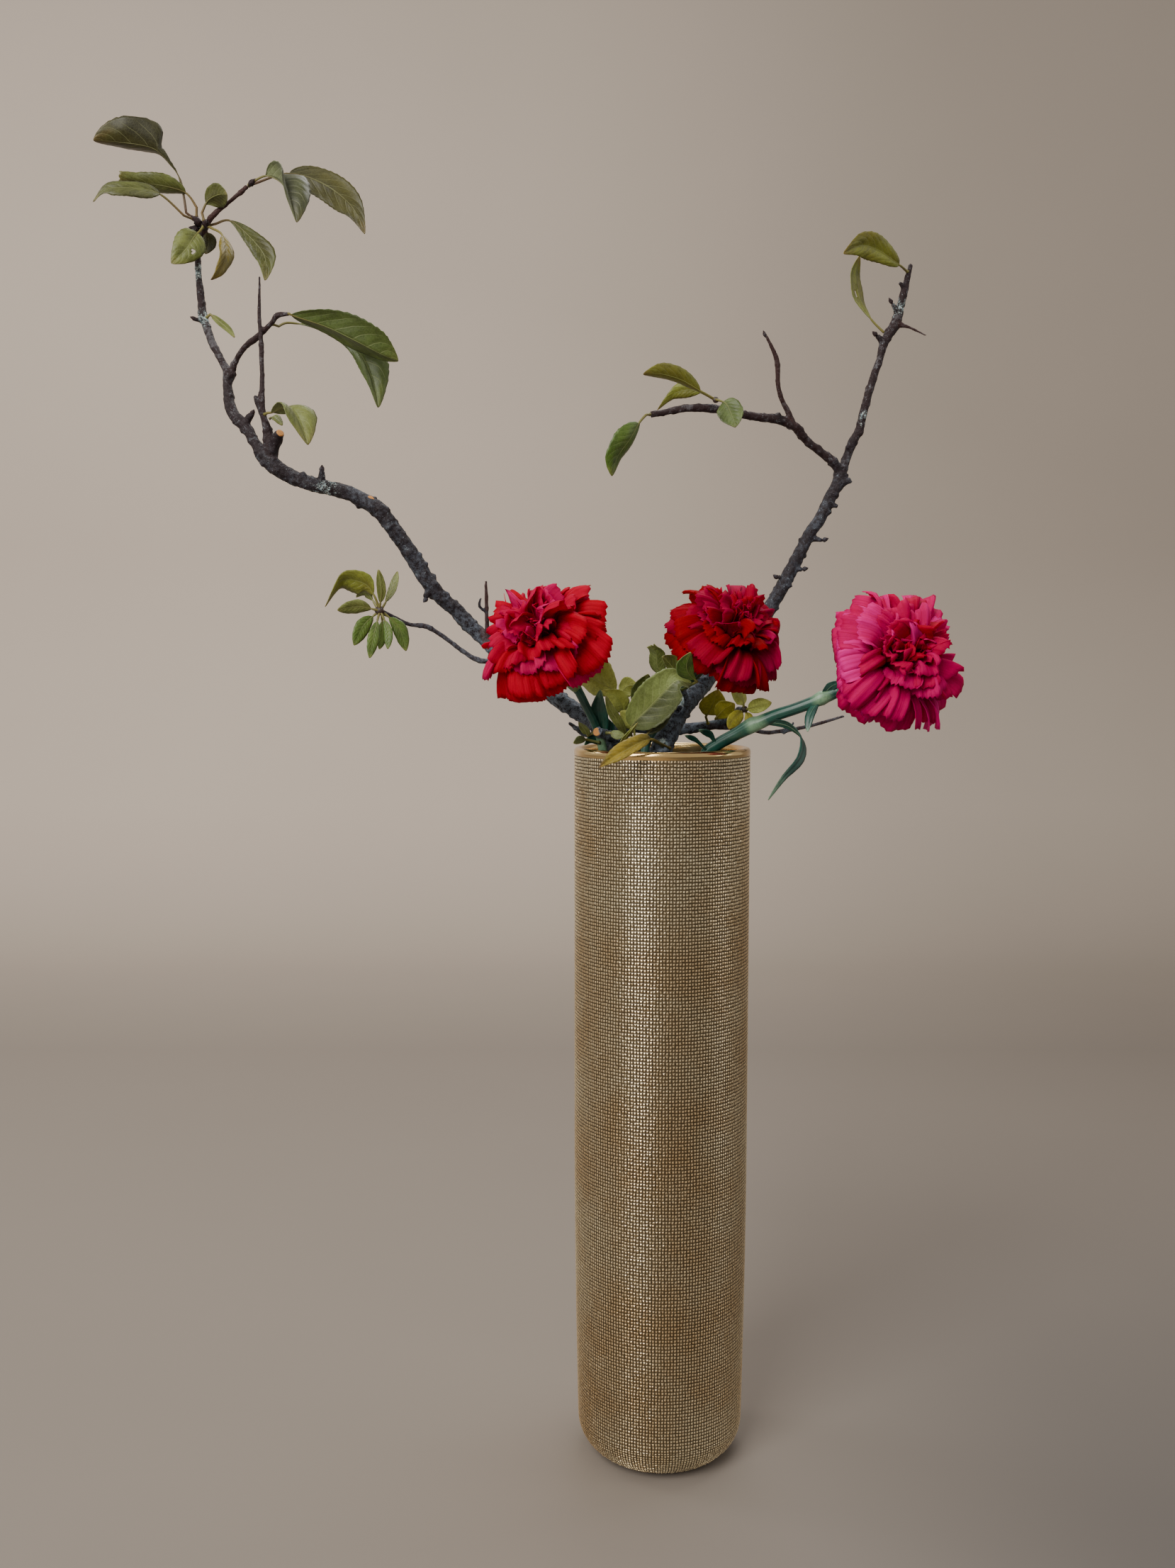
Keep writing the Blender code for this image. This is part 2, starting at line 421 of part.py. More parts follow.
def along(route, share):
    """The point at a share of the way along a smooth curve through the route's points."""
    spans = len(route) - 1
    place = min(share, 0.9999) * spans
    index = int(place)
    t = place - index
    before = route[max(index - 1, 0)]
    start = route[index]
    end = route[index + 1]
    after = route[min(index + 2, spans)]
    return 0.5 * ((2 * start) + (end - before) * t + (2 * before - 5 * start + 4 * end - after) * t * t
                  + (3 * start - before - 3 * end + after) * t ** 3)


def width_share(share, leaf):
    """How wide a leaf blade is, from 0 to 1, at a share of its own length."""
    share = min(max(share, 0.0), 1.0)
    power = math.log(0.5) / math.log(leaf["widest"])
    shape = max(math.sin(math.pi * share ** power), 0.0) ** 0.8
    return max(shape, leaf["torn"]) if share > leaf["widest"] else shape


def bitten(leaf, side, share):
    for bite_side, start, end, left in leaf["bites"]:
        if bite_side == side and start <= share <= end:
            return left
    return 1.0


def sheet_solid(name, rows, collection, thickness=BLADE_THICKNESS):
    """A thin closed solid from rows of points, triangulated before it is thickened."""
    work = bmesh.new()
    grid = [[work.verts.new(point * MM) for point in row] for row in rows]
    for upper, lower in zip(grid, grid[1:]):
        for left in range(len(upper) - 1):
            work.faces.new((upper[left], upper[left + 1], lower[left + 1], lower[left]))
    bmesh.ops.triangulate(work, faces=work.faces)
    mesh = bpy.data.meshes.new(name)
    work.to_mesh(mesh)
    work.free()
    made = add_object(name + "_sheet", mesh, collection)
    thick = made.modifiers.new("thick", "SOLIDIFY")
    thick.thickness = thickness * MM
    thick.offset = 0.0
    solid = baked(made, name, collection)
    tidy_mesh(solid)
    return solid


def leaf_solid(name, leaf, collection):
    """A leaf blade with its stalk, folded along the midrib, with a toothed margin."""
    route = [Vector(point) for point in leaf["route"]]
    stations = 7 if leaf["fine"] else 5
    steps = (-1.0, -0.5, 0.0, 0.5, 1.0) if leaf["fine"] else (-1.0, 0.0, 1.0)
    side_a, side_b = (Vector(side) for side in leaf["sides"])
    flat = (side_b - side_a).normalized()
    rows = []
    for station in range(stations + 1):
        share = station / stations
        middle = along(route, share)
        tangent = (along(route, share + 0.02) - along(route, share - 0.02)).normalized()
        blade_share = (share - leaf["stalk"]) / (1 - leaf["stalk"])
        width = width_share(blade_share, leaf)
        if 0 < blade_share < 1:
            width *= 1.0 + LEAF_TOOTH * (-1) ** station
        strip = STALK_HALF_WIDTH + (TIP_HALF_WIDTH - STALK_HALF_WIDTH) * share
        normal = tangent.cross(flat).normalized()
        row = []
        for step in steps:
            side = side_a if step < 0 else side_b
            side_index = 0 if step < 0 else 1
            outward = -flat if step < 0 else flat
            reach = side - tangent * side.dot(tangent)
            amount = abs(step)
            spread = reach * width * bitten(leaf, side_index, blade_share)
            arch = normal * reach.length * width * LEAF_ARCH * math.sin(math.pi * amount)
            row.append(middle + spread * amount + outward * strip * amount + arch)
        rows.append(row)
    if leaf["foot"]:
        foot = Vector(leaf["foot"])
        rows.insert(0, [foot + flat * step * STALK_HALF_WIDTH for step in steps])
    return sheet_solid(name, rows, collection)


def petal_solid(name, base, axis, radius, ring, turn, index, collection):
    """A fan-shaped petal that climbs from the calyx, spreads and ends in a toothed, waved edge."""
    count, lean, reach, half_width = ring
    side = axis.orthogonal().normalized()
    radial = Matrix.Rotation(turn, 3, axis) @ side
    across = axis.cross(radial).normalized()
    centre = base + axis * radius * BLOOM_CENTRE
    lean = math.radians(lean)
    end = centre + (radial * math.sin(lean) + axis * math.cos(lean)) * radius * reach
    bend = base + (radial * math.sin(lean * 0.5) + axis * math.cos(lean * 0.5)) * radius * PETAL_BEND
    rows = []
    for s in PETAL_ROWS:
        middle = base * (1 - s) ** 2 + bend * 2 * s * (1 - s) + end * s * s
        heading = ((bend - base) * (1 - s) + (end - bend) * s).normalized()
        normal = heading.cross(across).normalized()
        row = []
        for column in range(-2, 3):
            u = column / 2
            spread = radius * half_width * s ** PETAL_FAN * u
            tooth = radius * PETAL_TOOTH * (-1) ** column * (s == 1.0)
            round_edge = -radius * PETAL_ROUND_EDGE * u * u * s
            wave = radius * PETAL_WAVE * math.sin(u * 4.4 + index * 1.7) * s * s
            row.append(middle + across * spread + heading * (tooth + round_edge) + normal * wave)
        rows.append(row)
    return sheet_solid(name, rows, collection)


def make_vase(collection):
    """A hollow turned shell: straight sides, drawn in towards a rounded foot, plain round lip."""
    def outer(height):
        share = max(0.0, 1 - height / VASE_TAPER_HEIGHT)
        return VASE_RADIUS * (1 - VASE_TAPER * share ** 1.6)

    profile = [(0.0, VASE_FLOOR)]
    floor_radius = outer(VASE_FOOT_ROUND) - VASE_FOOT_ROUND
    for step in range(4):
        angle = math.radians(90 * step / 3)
        inner_round = VASE_FOOT_ROUND - VASE_WALL
        profile.append((floor_radius + inner_round * math.sin(angle),
                        VASE_FLOOR + inner_round * (1 - math.cos(angle))))
    lip = VASE_WALL / 2
    profile.append((outer(90) - VASE_WALL, 90.0))
    profile.append((VASE_RADIUS - VASE_WALL, VASE_TAPER_HEIGHT))
    for step in range(5):
        angle = math.radians(180 - 180 * step / 4)
        profile.append((VASE_RADIUS - lip + lip * math.cos(angle),
                        VASE_HEIGHT - lip + lip * math.sin(angle)))
    for height in (VASE_TAPER_HEIGHT, 110.0, 60.0):
        profile.append((outer(height), height))
    for step in range(6):
        angle = math.radians(90 * step / 5)
        profile.append((floor_radius + VASE_FOOT_ROUND * math.cos(angle),
                        VASE_FOOT_ROUND * (1 - math.sin(angle))))
    profile.append((0.0, 0.0))
    work = bmesh.new()
    verts = [work.verts.new((radius * MM, 0.0, height * MM)) for radius, height in profile]
    for first, second in zip(verts, verts[1:]):
        work.edges.new((first, second))
    mesh = bpy.data.meshes.new("vase")
    work.to_mesh(mesh)
    work.free()
    made = add_object("vase", mesh, collection)
    turn = made.modifiers.new("turn", "SCREW")
    turn.steps = VASE_SEGMENTS
    turn.render_steps = VASE_SEGMENTS
    turn.use_merge_vertices = True
    turn.merge_threshold = 0.00005
    finish(made, make_material("vase", "gold", 0.35, 1.0))


def branch_resolution(part):
    """Eight sides for a trunk, six for a branch and four for a spur of a few points."""
    if part == "trunk":
        return 2
    return 0 if "spur" in part or "bud" in part or "thorn" in part else 1


def make_wood(name, branches, collection):
    pieces = [tube(f"{name}_{part}", points, collection, branch_resolution(part))
              for part, points in branches.items()]
    finish(fuse(name, pieces, collection), make_material(name, "bark", 0.8))


def make_leaves(collection):
    for name, leaf in LEAVES.items():
        finish(leaf_solid(name, leaf, collection), make_material(name, leaf["colour"], 0.5))


def make_sprays(collection):
    for name, spray in SPRAYS.items():
        centre, radius = spray["bud"]
        pieces = [ball(name + "_bud", centre, radius, collection)]
        pieces += [leaf_solid(f"{name}_{index}", leaf, collection)
                   for index, leaf in enumerate(spray["leaves"])]
        finish(fuse(name, pieces, collection), make_material(name, spray["colour"], 0.5))


def make_carnation(colour, spec, collection):
    """The stem swells into its calyx; the bloom stands on it, a hair's breadth above."""
    bloom = spec["bloom"]
    axis = Vector(bloom["axis"]).normalized()
    radius = bloom["radius"]
    stem_top = Vector(spec["stem"][-1][:3])
    calyx = [(*(stem_top + axis * height), diameter) for height, diameter in CALYX]
    calyx_top = stem_top + axis * CALYX[-1][0]
    name = "carnation_stem_" + colour
    pieces = [tube(name, spec["stem"] + calyx, collection)]
    pieces += [leaf_solid(f"{name}_{index}", strap, collection)
               for index, strap in enumerate(spec["straps"])]
    finish(fuse(name, pieces, collection), make_material(name, "stem", 0.5))
    name = "carnation_bloom_" + colour
    base = calyx_top + axis * (radius * (BLOOM_CORE - BLOOM_CENTRE) + 3 * GAP)
    centre = base + axis * radius * BLOOM_CENTRE
    core = ball(name + "_core", centre, radius * BLOOM_CORE, collection, 12, 8)
    pieces = [core]
    for ring_index, ring in enumerate(BLOOM_RINGS):
        for petal in range(ring[0]):
            turn = math.tau * (petal + 0.5 * (ring_index % 2)) / ring[0] + bloom["seed"]
            pieces.append(petal_solid(f"{name}_{ring_index}_{petal}", base, axis, radius, ring, turn,
                                      petal + ring_index * 3 + bloom["seed"], collection))
    finish(fuse(name, pieces, collection), make_material(name, colour, 0.6))


def make_water(collection, cutters):
    """The water, with a plain hole for each bough and stem that stands in it."""
    radius = VASE_RADIUS * (1 - VASE_TAPER) - VASE_WALL - GAP
    bottom = VASE_FOOT_ROUND + VASE_FLOOR
    work = bmesh.new()
    place = Matrix.Translation((0.0, 0.0, (WATER_LEVEL + bottom) / 2 * MM))
    bmesh.ops.create_cone(work, cap_ends=True, segments=WATER_SEGMENTS, radius1=radius * MM,
                          radius2=radius * MM, depth=(WATER_LEVEL - bottom) * MM, matrix=place)
    mesh = bpy.data.meshes.new("water")
    work.to_mesh(mesh)
    work.free()
    water = add_object("water", mesh, collection)
    standing = {"left": LEFT_BOUGH["trunk"], "right": RIGHT_BOUGH["trunk"]}
    for colour, spec in CARNATIONS.items():
        standing[colour] = spec["stem"]
    for name, points in standing.items():
        foot = Vector(points[0][:3])
        up = (Vector(points[1][:3]) - foot).normalized()
        above = foot + up * (WATER_LEVEL + 15 - foot.z) / up.z
        below = foot - up * 2 * GAP
        clear = max(points[0][3], points[1][3]) * 1.05 + 4 * GAP
        hole = tube("hole_" + name, [(*below, clear), (*above, clear)], cutters)
        hole.hide_render = True
        hole.display_type = "WIRE"
        cut = water.modifiers.new("hole_" + name, "BOOLEAN")
        cut.operation = "DIFFERENCE"
        cut.object = hole
    finish(water, make_material("water", "water", 0.05))


def main():
    for old in list(bpy.data.objects):
        bpy.data.objects.remove(old)
    parts = bpy.data.collections.new("ikebana_arrangement")
    cutters = bpy.data.collections.new("cutters")
    for made in (parts, cutters):
        bpy.context.scene.collection.children.link(made)
    make_vase(parts)
    make_wood("left_bough", LEFT_BOUGH, parts)
    make_wood("right_bough", RIGHT_BOUGH, parts)
    make_leaves(parts)
    make_sprays(parts)
    for colour, spec in CARNATIONS.items():
        make_carnation(colour, spec, parts)
    make_water(parts, cutters)


main()
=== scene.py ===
import math
import random

import bpy
from mathutils import Matrix, Vector, kdtree, noise


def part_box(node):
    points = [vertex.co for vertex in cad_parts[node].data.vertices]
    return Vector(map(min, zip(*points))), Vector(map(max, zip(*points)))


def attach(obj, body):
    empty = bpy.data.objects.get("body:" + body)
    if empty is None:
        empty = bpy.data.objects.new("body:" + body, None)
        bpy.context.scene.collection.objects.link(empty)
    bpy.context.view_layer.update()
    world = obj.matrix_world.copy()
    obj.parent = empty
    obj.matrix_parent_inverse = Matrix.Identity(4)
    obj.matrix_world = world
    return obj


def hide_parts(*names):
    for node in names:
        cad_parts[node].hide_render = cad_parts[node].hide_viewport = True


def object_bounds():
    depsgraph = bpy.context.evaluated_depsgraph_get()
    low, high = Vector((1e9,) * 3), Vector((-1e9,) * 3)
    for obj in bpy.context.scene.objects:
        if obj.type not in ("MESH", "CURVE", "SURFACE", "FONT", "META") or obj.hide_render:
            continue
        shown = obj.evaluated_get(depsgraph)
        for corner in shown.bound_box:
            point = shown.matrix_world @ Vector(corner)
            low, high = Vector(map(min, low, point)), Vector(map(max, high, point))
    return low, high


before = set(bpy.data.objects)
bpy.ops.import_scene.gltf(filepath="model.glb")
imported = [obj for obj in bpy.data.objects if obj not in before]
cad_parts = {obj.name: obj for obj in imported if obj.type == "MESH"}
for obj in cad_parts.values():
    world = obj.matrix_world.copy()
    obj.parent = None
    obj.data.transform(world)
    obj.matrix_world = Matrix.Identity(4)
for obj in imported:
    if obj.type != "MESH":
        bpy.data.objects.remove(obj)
cadLow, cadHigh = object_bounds()
mm = 0.001    # routes and sizes below are in millimetres, in the frame's own axes


def pick(piece):
    bpy.ops.object.select_all(action="DESELECT")
    piece.select_set(True)
    bpy.context.view_layer.objects.active = piece


def finishPiece(piece, node):
    bpy.ops.object.select_all(action="DESELECT")
    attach(piece, "root")
    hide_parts(node)


def applyModifier(piece, kind, **settings):
    pick(piece)
    modifier = piece.modifiers.new(kind.lower(), kind)
    for name, value in settings.items():
        setattr(modifier, name, value)
    bpy.ops.object.modifier_apply(modifier=modifier.name)


def mergeSeams(piece, outward=True):
    pick(piece)
    bpy.ops.object.mode_set(mode="EDIT")
    bpy.ops.mesh.select_all(action="SELECT")
    bpy.ops.mesh.remove_doubles(threshold=0.000002)
    if outward:
        bpy.ops.mesh.normals_make_consistent(inside=False)
    bpy.ops.object.mode_set(mode="OBJECT")


def openFaces(piece, wanted):
    # goes into edit mode with only the wanted faces selected
    pick(piece)
    bpy.ops.object.mode_set(mode="EDIT")
    bpy.ops.mesh.select_mode(type="FACE")
    bpy.ops.mesh.select_all(action="DESELECT")
    bpy.ops.object.mode_set(mode="OBJECT")
    for face in piece.data.polygons:
        face.select = wanted(face)
    bpy.ops.object.mode_set(mode="EDIT")


def closeFaces():
    bpy.ops.mesh.select_mode(type="VERT")
    bpy.ops.object.mode_set(mode="OBJECT")


def joinPieces(pieces, name):
    bpy.ops.object.select_all(action="DESELECT")
    for piece in pieces:
        piece.select_set(True)
    bpy.context.view_layer.objects.active = pieces[0]
    if len(pieces) > 1:
        bpy.ops.object.join()
    pieces[0].name = name
    pieces[0].data.name = name
    return pieces[0]


def dress(piece, *finishes):
    # the piece's materials, in the order of its slots
    piece.data.materials.clear()
    for finish in finishes:
        piece.data.materials.append(finish)


def addSheet(name, columns, rows):
    # a flat grid one metre across; shapeSheet then bends it to its place
    bpy.ops.object.select_all(action="DESELECT")
    bpy.ops.mesh.primitive_grid_add(x_subdivisions=columns, y_subdivisions=rows, size=1.0)
    piece = bpy.context.active_object
    piece.name = name
    return piece


def shapeSheet(piece, columns, rows, place):
    for vertex in piece.data.vertices:
        column = round((vertex.co.x + 0.5) * columns)
        row = round((vertex.co.y + 0.5) * rows)
        vertex.co = place(column, row) * mm


def curvePoint(route, share):
    # a smooth curve through the route's points
    spans = len(route) - 1
    place = min(max(share, 0.0), 0.9999) * spans
    index = int(place)
    t = place - index
    before, start = route[max(index - 1, 0)], route[index]
    end, after = route[index + 1], route[min(index + 2, spans)]
    return 0.5 * (2 * start + (end - before) * t + (2 * before - 5 * start + 4 * end - after) * t * t
                  + (3 * start - before - 3 * end + after) * t ** 3)


def evenCurve(route, step):
    # a smooth curve whose bends keep to their own span, however uneven the spans are
    last = len(route) - 1
    headings = [(route[min(i + 1, last)] - route[max(i - 1, 0)]).normalized() for i in range(last + 1)]
    found = []
    for index in range(last):
        start, end = route[index], route[index + 1]
        length = (end - start).length
        count = max(int(length / step), 2)
        for number in range(count + (index == last - 1)):
            t = number / count
            bend = (headings[index] * (t ** 3 - 2 * t * t + t)
                    + headings[index + 1] * (t ** 3 - t * t)) * length
            found.append(start * (2 * t ** 3 - 3 * t * t + 1) + end * (3 * t * t - 2 * t ** 3) + bend)
    return found


def addTube(name, stations, sides):
    # stations are (point, radius); the ends are drawn in to a point, so the tube is closed
    points = [Vector(point) for point, radius in stations]
    radii = [radius for point, radius in stations]
    last = len(points) - 1
    side = (points[1] - points[0]).orthogonal().normalized()
    rings = []
    for index, point in enumerate(points):
        ahead = (points[min(index + 1, last)] - points[max(index - 1, 0)]).normalized()
        side = (side - ahead * side.dot(ahead)).normalized()
        rings.append((point, side.copy(), ahead.cross(side)))
    rings = [rings[0]] + rings + [rings[-1]]
    radii = [0.0] + radii + [0.0]
    rows = len(rings) - 1
    piece = addSheet(name, sides, rows)

    def place(column, row):
        point, first, second = rings[row]
        turn = math.tau * column / sides
        return point + (first * math.cos(turn) + second * math.sin(turn)) * radii[row]

    shapeSheet(piece, sides, rows, place)
    mergeSeams(piece)
    return piece


def addTurned(name, outline, foot, axis, sides, change=None):
    # a turned form that stands on foot along axis; outline is (radius, height) pairs
    axis = Vector(axis).normalized()
    first = axis.orthogonal().normalized()
    second = axis.cross(first)
    rows = len(outline) - 1
    piece = addSheet(name, sides, rows)

    def place(column, row):
        radius, height = outline[row]
        angle = math.tau * (column % sides) / sides
        if change:
            radius, height = change(angle, row, radius, height)
        out = first * math.cos(angle) + second * math.sin(angle)
        return Vector(foot) + axis * height + out * radius

    shapeSheet(piece, sides, rows, place)
    mergeSeams(piece)
    piece.data.shade_smooth()
    return piece


def storeColours(piece, name, colours):
    # a colour for each point of the mesh, which the materials read
    layer = piece.data.color_attributes.new(name, "FLOAT_COLOR", "POINT")
    for entry, colour in zip(layer.data, colours):
        entry.color = (*colour, 1.0)


def paint(piece, name, colourAt):
    storeColours(piece, name, [colourAt(vertex.co / mm) for vertex in piece.data.vertices])


def tone(red, green, blue):
    # a colour as it is mixed on screen, from 0 to 255
    return tuple(((part / 255 + 0.055) / 1.055) ** 2.4 for part in (red, green, blue))


def mixed(first, second, share):
    share = min(max(share, 0.0), 1.0)
    return tuple(a + (b - a) * share for a, b in zip(first, second))


def camelName(node):
    words = node.split("_")
    return words[0] + "".join(word.capitalize() for word in words[1:])


view = {"lens": 32.55, "sensor": 36.0, "place": (-0.0432, -0.819, 0.4686), "lookDown": 4.9}


def makeCamera():
    bpy.ops.object.camera_add(location=view["place"],
                              rotation=(math.radians(90 - view["lookDown"]), 0, 0))
    camera = bpy.context.active_object
    camera.name = "camera"
    camera.data.sensor_fit = "VERTICAL"
    camera.data.sensor_height = view["sensor"]
    camera.data.lens = view["lens"]
    bpy.context.scene.camera = camera


# dim and dark are painted shade on the floor and wall, darker to the right and at the front right
studio = {"world": (0.62, 0.585, 0.55), "worldStrength": 0.74,
          "floor": (0.25, 0.215, 0.183), "wall": (0.54, 0.463, 0.39),
          "dim": (0.8, 0.8, 0.8), "dark": (0.5, 0.52, 0.55), "worn": (0.9, 0.9, 0.9)}
lamps = {
    "keyLamp": {"place": (-0.9, -1.5, 1.5), "aim": (0.0, 0.0, 0.45), "size": (1.1, 1.5), "power": 50,
                "colour": (1.0, 0.97, 0.92)},
    "fillLamp": {"place": (1.6, -0.2, 1.0), "aim": (0.0, 0.0, 0.5), "size": (0.7, 1.2), "power": 4,
                 "colour": (1.0, 0.95, 0.9)},
    "backLamp": {"place": (0.3, 0.55, 1.7), "aim": (-0.05, 0.0, 0.5), "size": (1.2, 0.6), "power": 12,
                 "colour": (1.0, 0.98, 0.96)},
    "wallLamp": {"place": (-1.3, 0.5, 1.5), "aim": (-0.5, 2.0, 0.9), "size": (0.9, 1.2), "power": 14,
                 "colour": (1.0, 0.96, 0.92)},
}


def makeStudio():
    world = bpy.data.worlds.new("studio")
    world.use_nodes = True
    world.node_tree.nodes["Background"].inputs["Color"].default_value = (*studio["world"], 1)
    world.node_tree.nodes["Background"].inputs["Strength"].default_value = studio["worldStrength"]
    bpy.context.scene.world = world
    for name, lamp in lamps.items():
        aim = Vector(lamp["aim"]) - Vector(lamp["place"])
        bpy.ops.object.light_add(type="AREA", location=lamp["place"],
                                 rotation=aim.to_track_quat("-Z", "Y").to_euler())
        light = bpy.context.active_object
        light.name = name
        light.data.shape = "RECTANGLE"
        light.data.size, light.data.size_y = lamp["size"]
        light.data.energy = lamp["power"]
        light.data.color = lamp["colour"]


floor = {"rows": 40, "width": 6.0, "reach": 3.0, "back": 1.3, "bend": 0.7, "top": 3.0}


def makeFloor():
    # one sheet: floor in front, then a wide curve up into the wall behind
    rows, reach, bend, back = floor["rows"], floor["reach"], floor["bend"], floor["back"]
    sheet = addSheet("floor", 2, rows)

    def place(column, row):
        x = (column - 1) * floor["width"] / 2
        y, z = -reach + (reach + back) * row / (rows / 2), 0.0
        if row > rows / 2:
            angle = math.radians(90) * min((row - rows / 2) / (rows / 2 - 2), 1.0)
            y = back + bend * math.sin(angle)
            z = bend * (1 - math.cos(angle))
        if row > rows - 2:
            z = floor["top"]
        return Vector((x, y, z)) / mm

    shapeSheet(sheet, 2, rows, place)
    shares = [min(max((vertex.co.y - 0.9) / 0.9, 0.0), 1.0) for vertex in sheet.data.vertices]
    storeColours(sheet, "wallShare", [(share, share, share) for share in shares])
    sheet.data.shade_smooth()
    dress(sheet, floorMaterial())


def newMaterial(name, **values):
    # values are for the shader's own inputs, with _ for a space
    material = bpy.data.materials.new(name)
    material.use_nodes = True
    shader = material.node_tree.nodes["Principled BSDF"]
    for label, value in values.items():
        shader.inputs[label.replace("_", " ")].default_value = value
    return material, material.node_tree, shader


def addNode(tree, kind, inputs=None, **settings):
    # inputs are values or the sockets that feed them, by the input's name or number
    node = tree.nodes.new(kind)
    for name, value in settings.items():
        setattr(node, name, value)
    for key, value in (inputs or {}).items():
        if isinstance(value, bpy.types.NodeSocket):
            tree.links.new(value, node.inputs[key])
        else:
            node.inputs[key].default_value = value
    return node


def math2(tree, operation, first, second=0.0, third=0.0):
    return addNode(tree, "ShaderNodeMath", {0: first, 1: second, 2: third},
                   operation=operation).outputs[0]


def times(tree, first, second):
    return math2(tree, "MULTIPLY", first, second)


def timesPlus(tree, first, second, third):
    return math2(tree, "MULTIPLY_ADD", first, second, third)


def smoothStep(tree, value, low, high):
    node = addNode(tree, "ShaderNodeMapRange", {"Value": value, "From Min": low, "From Max": high},
                   interpolation_type="SMOOTHSTEP")
    return node.outputs["Result"]


def blendColour(tree, share, first, second, kind="MIX"):
    node = addNode(tree, "ShaderNodeMix", data_type="RGBA", blend_type=kind)
    for key, value in {0: share, 6: first, 7: second}.items():
        if isinstance(value, bpy.types.NodeSocket):
            tree.links.new(value, node.inputs[key])
        else:
            node.inputs[key].default_value = (*value, 1.0) if isinstance(value, tuple) else value
    return node.outputs[2]


def darker(tree, colour, by, share=1.0):
    return blendColour(tree, share, colour, by, "MULTIPLY")


def bodyPlace(tree):
    return addNode(tree, "ShaderNodeTexCoord").outputs["Object"]


def sheetPlace(tree):
    return addNode(tree, "ShaderNodeUVMap").outputs["UV"]


def splitPlace(tree, place):
    return addNode(tree, "ShaderNodeSeparateXYZ", {0: place}).outputs


def storedColour(tree, name):
    return addNode(tree, "ShaderNodeAttribute", attribute_name=name).outputs["Color"]


def edgeCells(tree, size):
    return addNode(tree, "ShaderNodeTexVoronoi", {"Vector": bodyPlace(tree), "Scale": size},
                   feature="DISTANCE_TO_EDGE").outputs["Distance"]


def lengthwise(tree, across, along):
    # fine lines that run along a sheet
    place = addNode(tree, "ShaderNodeMapping", {"Vector": sheetPlace(tree), "Scale": (across, along, 1.0)})
    return addNode(tree, "ShaderNodeTexNoise", {"Vector": place.outputs[0], "Scale": 1.0}).outputs[0]


def newGroup(name, inputs, outputs):
    group = bpy.data.node_groups.new(name, "ShaderNodeTree")
    for label, value in inputs.items():
        socket = group.interface.new_socket(name=label, in_out="INPUT", socket_type="NodeSocketFloat")
        socket.default_value = value
    for label in outputs:
        group.interface.new_socket(name=label, in_out="OUTPUT", socket_type="NodeSocketFloat")
    return group, group.nodes.new("NodeGroupInput").outputs, group.nodes.new("NodeGroupOutput").inputs


def useGroup(tree, group, **values):
    node = tree.nodes.new("ShaderNodeGroup")
    node.node_tree = group
    for label, value in values.items():
        node.inputs[label.replace("_", " ")].default_value = value
    return node.outputs


def bump(tree, shader, height, strength, distance=0.0003):
    node = addNode(tree, "ShaderNodeBump", {"Height": height, "Strength": strength,
                                            "Distance": distance})
    tree.links.new(node.outputs["Normal"], shader.inputs["Normal"])


def mottleGroup():
    # soft blotches of two sizes, from 0 to 1
    group, given, found = newGroup("mottle", {"Size": 120.0, "Fine Share": 0.4}, ["Value"])
    place = bodyPlace(group)
    large = addNode(group, "ShaderNodeTexNoise", {"Vector": place, "Scale": given["Size"],
                                                  "Detail": 3.0, "Roughness": 0.6})
    fineSize = times(group, given["Size"], 6.0)
    fine = addNode(group, "ShaderNodeTexNoise", {"Vector": place, "Scale": fineSize,
                                                 "Detail": 2.0, "Roughness": 0.6})
    mix = addNode(group, "ShaderNodeMix", {0: given["Fine Share"], 2: large.outputs[0],
                                           3: fine.outputs[0]}, data_type="FLOAT")
    group.links.new(mix.outputs[0], found["Value"])
    return group


def veinGroup():
    # midrib, side veins that sweep towards the tip, and a fine net between them
    group, given, found = newGroup("veins", {"Side Veins": 8.0, "Sweep": 2.2, "Net Size": 700.0},
                                   ["Veins", "Height"])
    place = sheetPlace(group)
    split = splitPlace(group, place)
    along = split[1]
    across = math2(group, "SUBTRACT", times(group, split[0], 2.0), 1.0)
    reach = math2(group, "ABSOLUTE", across)
    sweep = times(group, math2(group, "POWER", reach, 1.25), given["Sweep"])
    offset = times(group, math2(group, "SIGN", across), 0.2)
    wander = addNode(group, "ShaderNodeTexNoise", {"Vector": place, "Scale": 5.0}).outputs[0]
    phase = timesPlus(group, along, given["Side Veins"], offset)
    phase = math2(group, "SUBTRACT", phase, sweep)
    phase = timesPlus(group, wander, 0.35, phase)
    near = math2(group, "ABSOLUTE", math2(group, "SUBTRACT", math2(group, "FRACT", phase), 0.5))
    side = smoothStep(group, near, 0.44, 0.497)
    side = times(group, side, smoothStep(group, reach, 1.0, 0.55))
    rib = smoothStep(group, reach, timesPlus(group, along, -0.05, 0.075), 0.01)
    net = smoothStep(group, edgeCells(group, given["Net Size"]), 0.09, 0.0)
    strong = math2(group, "MAXIMUM", rib, times(group, side, 0.75))
    veins = math2(group, "MAXIMUM", strong, times(group, net, 0.22))
    swell = timesPlus(group, near, -1.2, times(group, veins, -0.5))
    group.links.new(veins, found["Veins"])
    group.links.new(swell, found["Height"])
    return group


groups = {}


def mottled(tree, size, fineShare):
    return useGroup(tree, groups["mottle"], Size=size, Fine_Share=fineShare)["Value"]


def feed(tree, shader, colour, rough=None):
    tree.links.new(colour, shader.inputs["Base Color"])
    if rough is not None:
        tree.links.new(rough, shader.inputs["Roughness"])


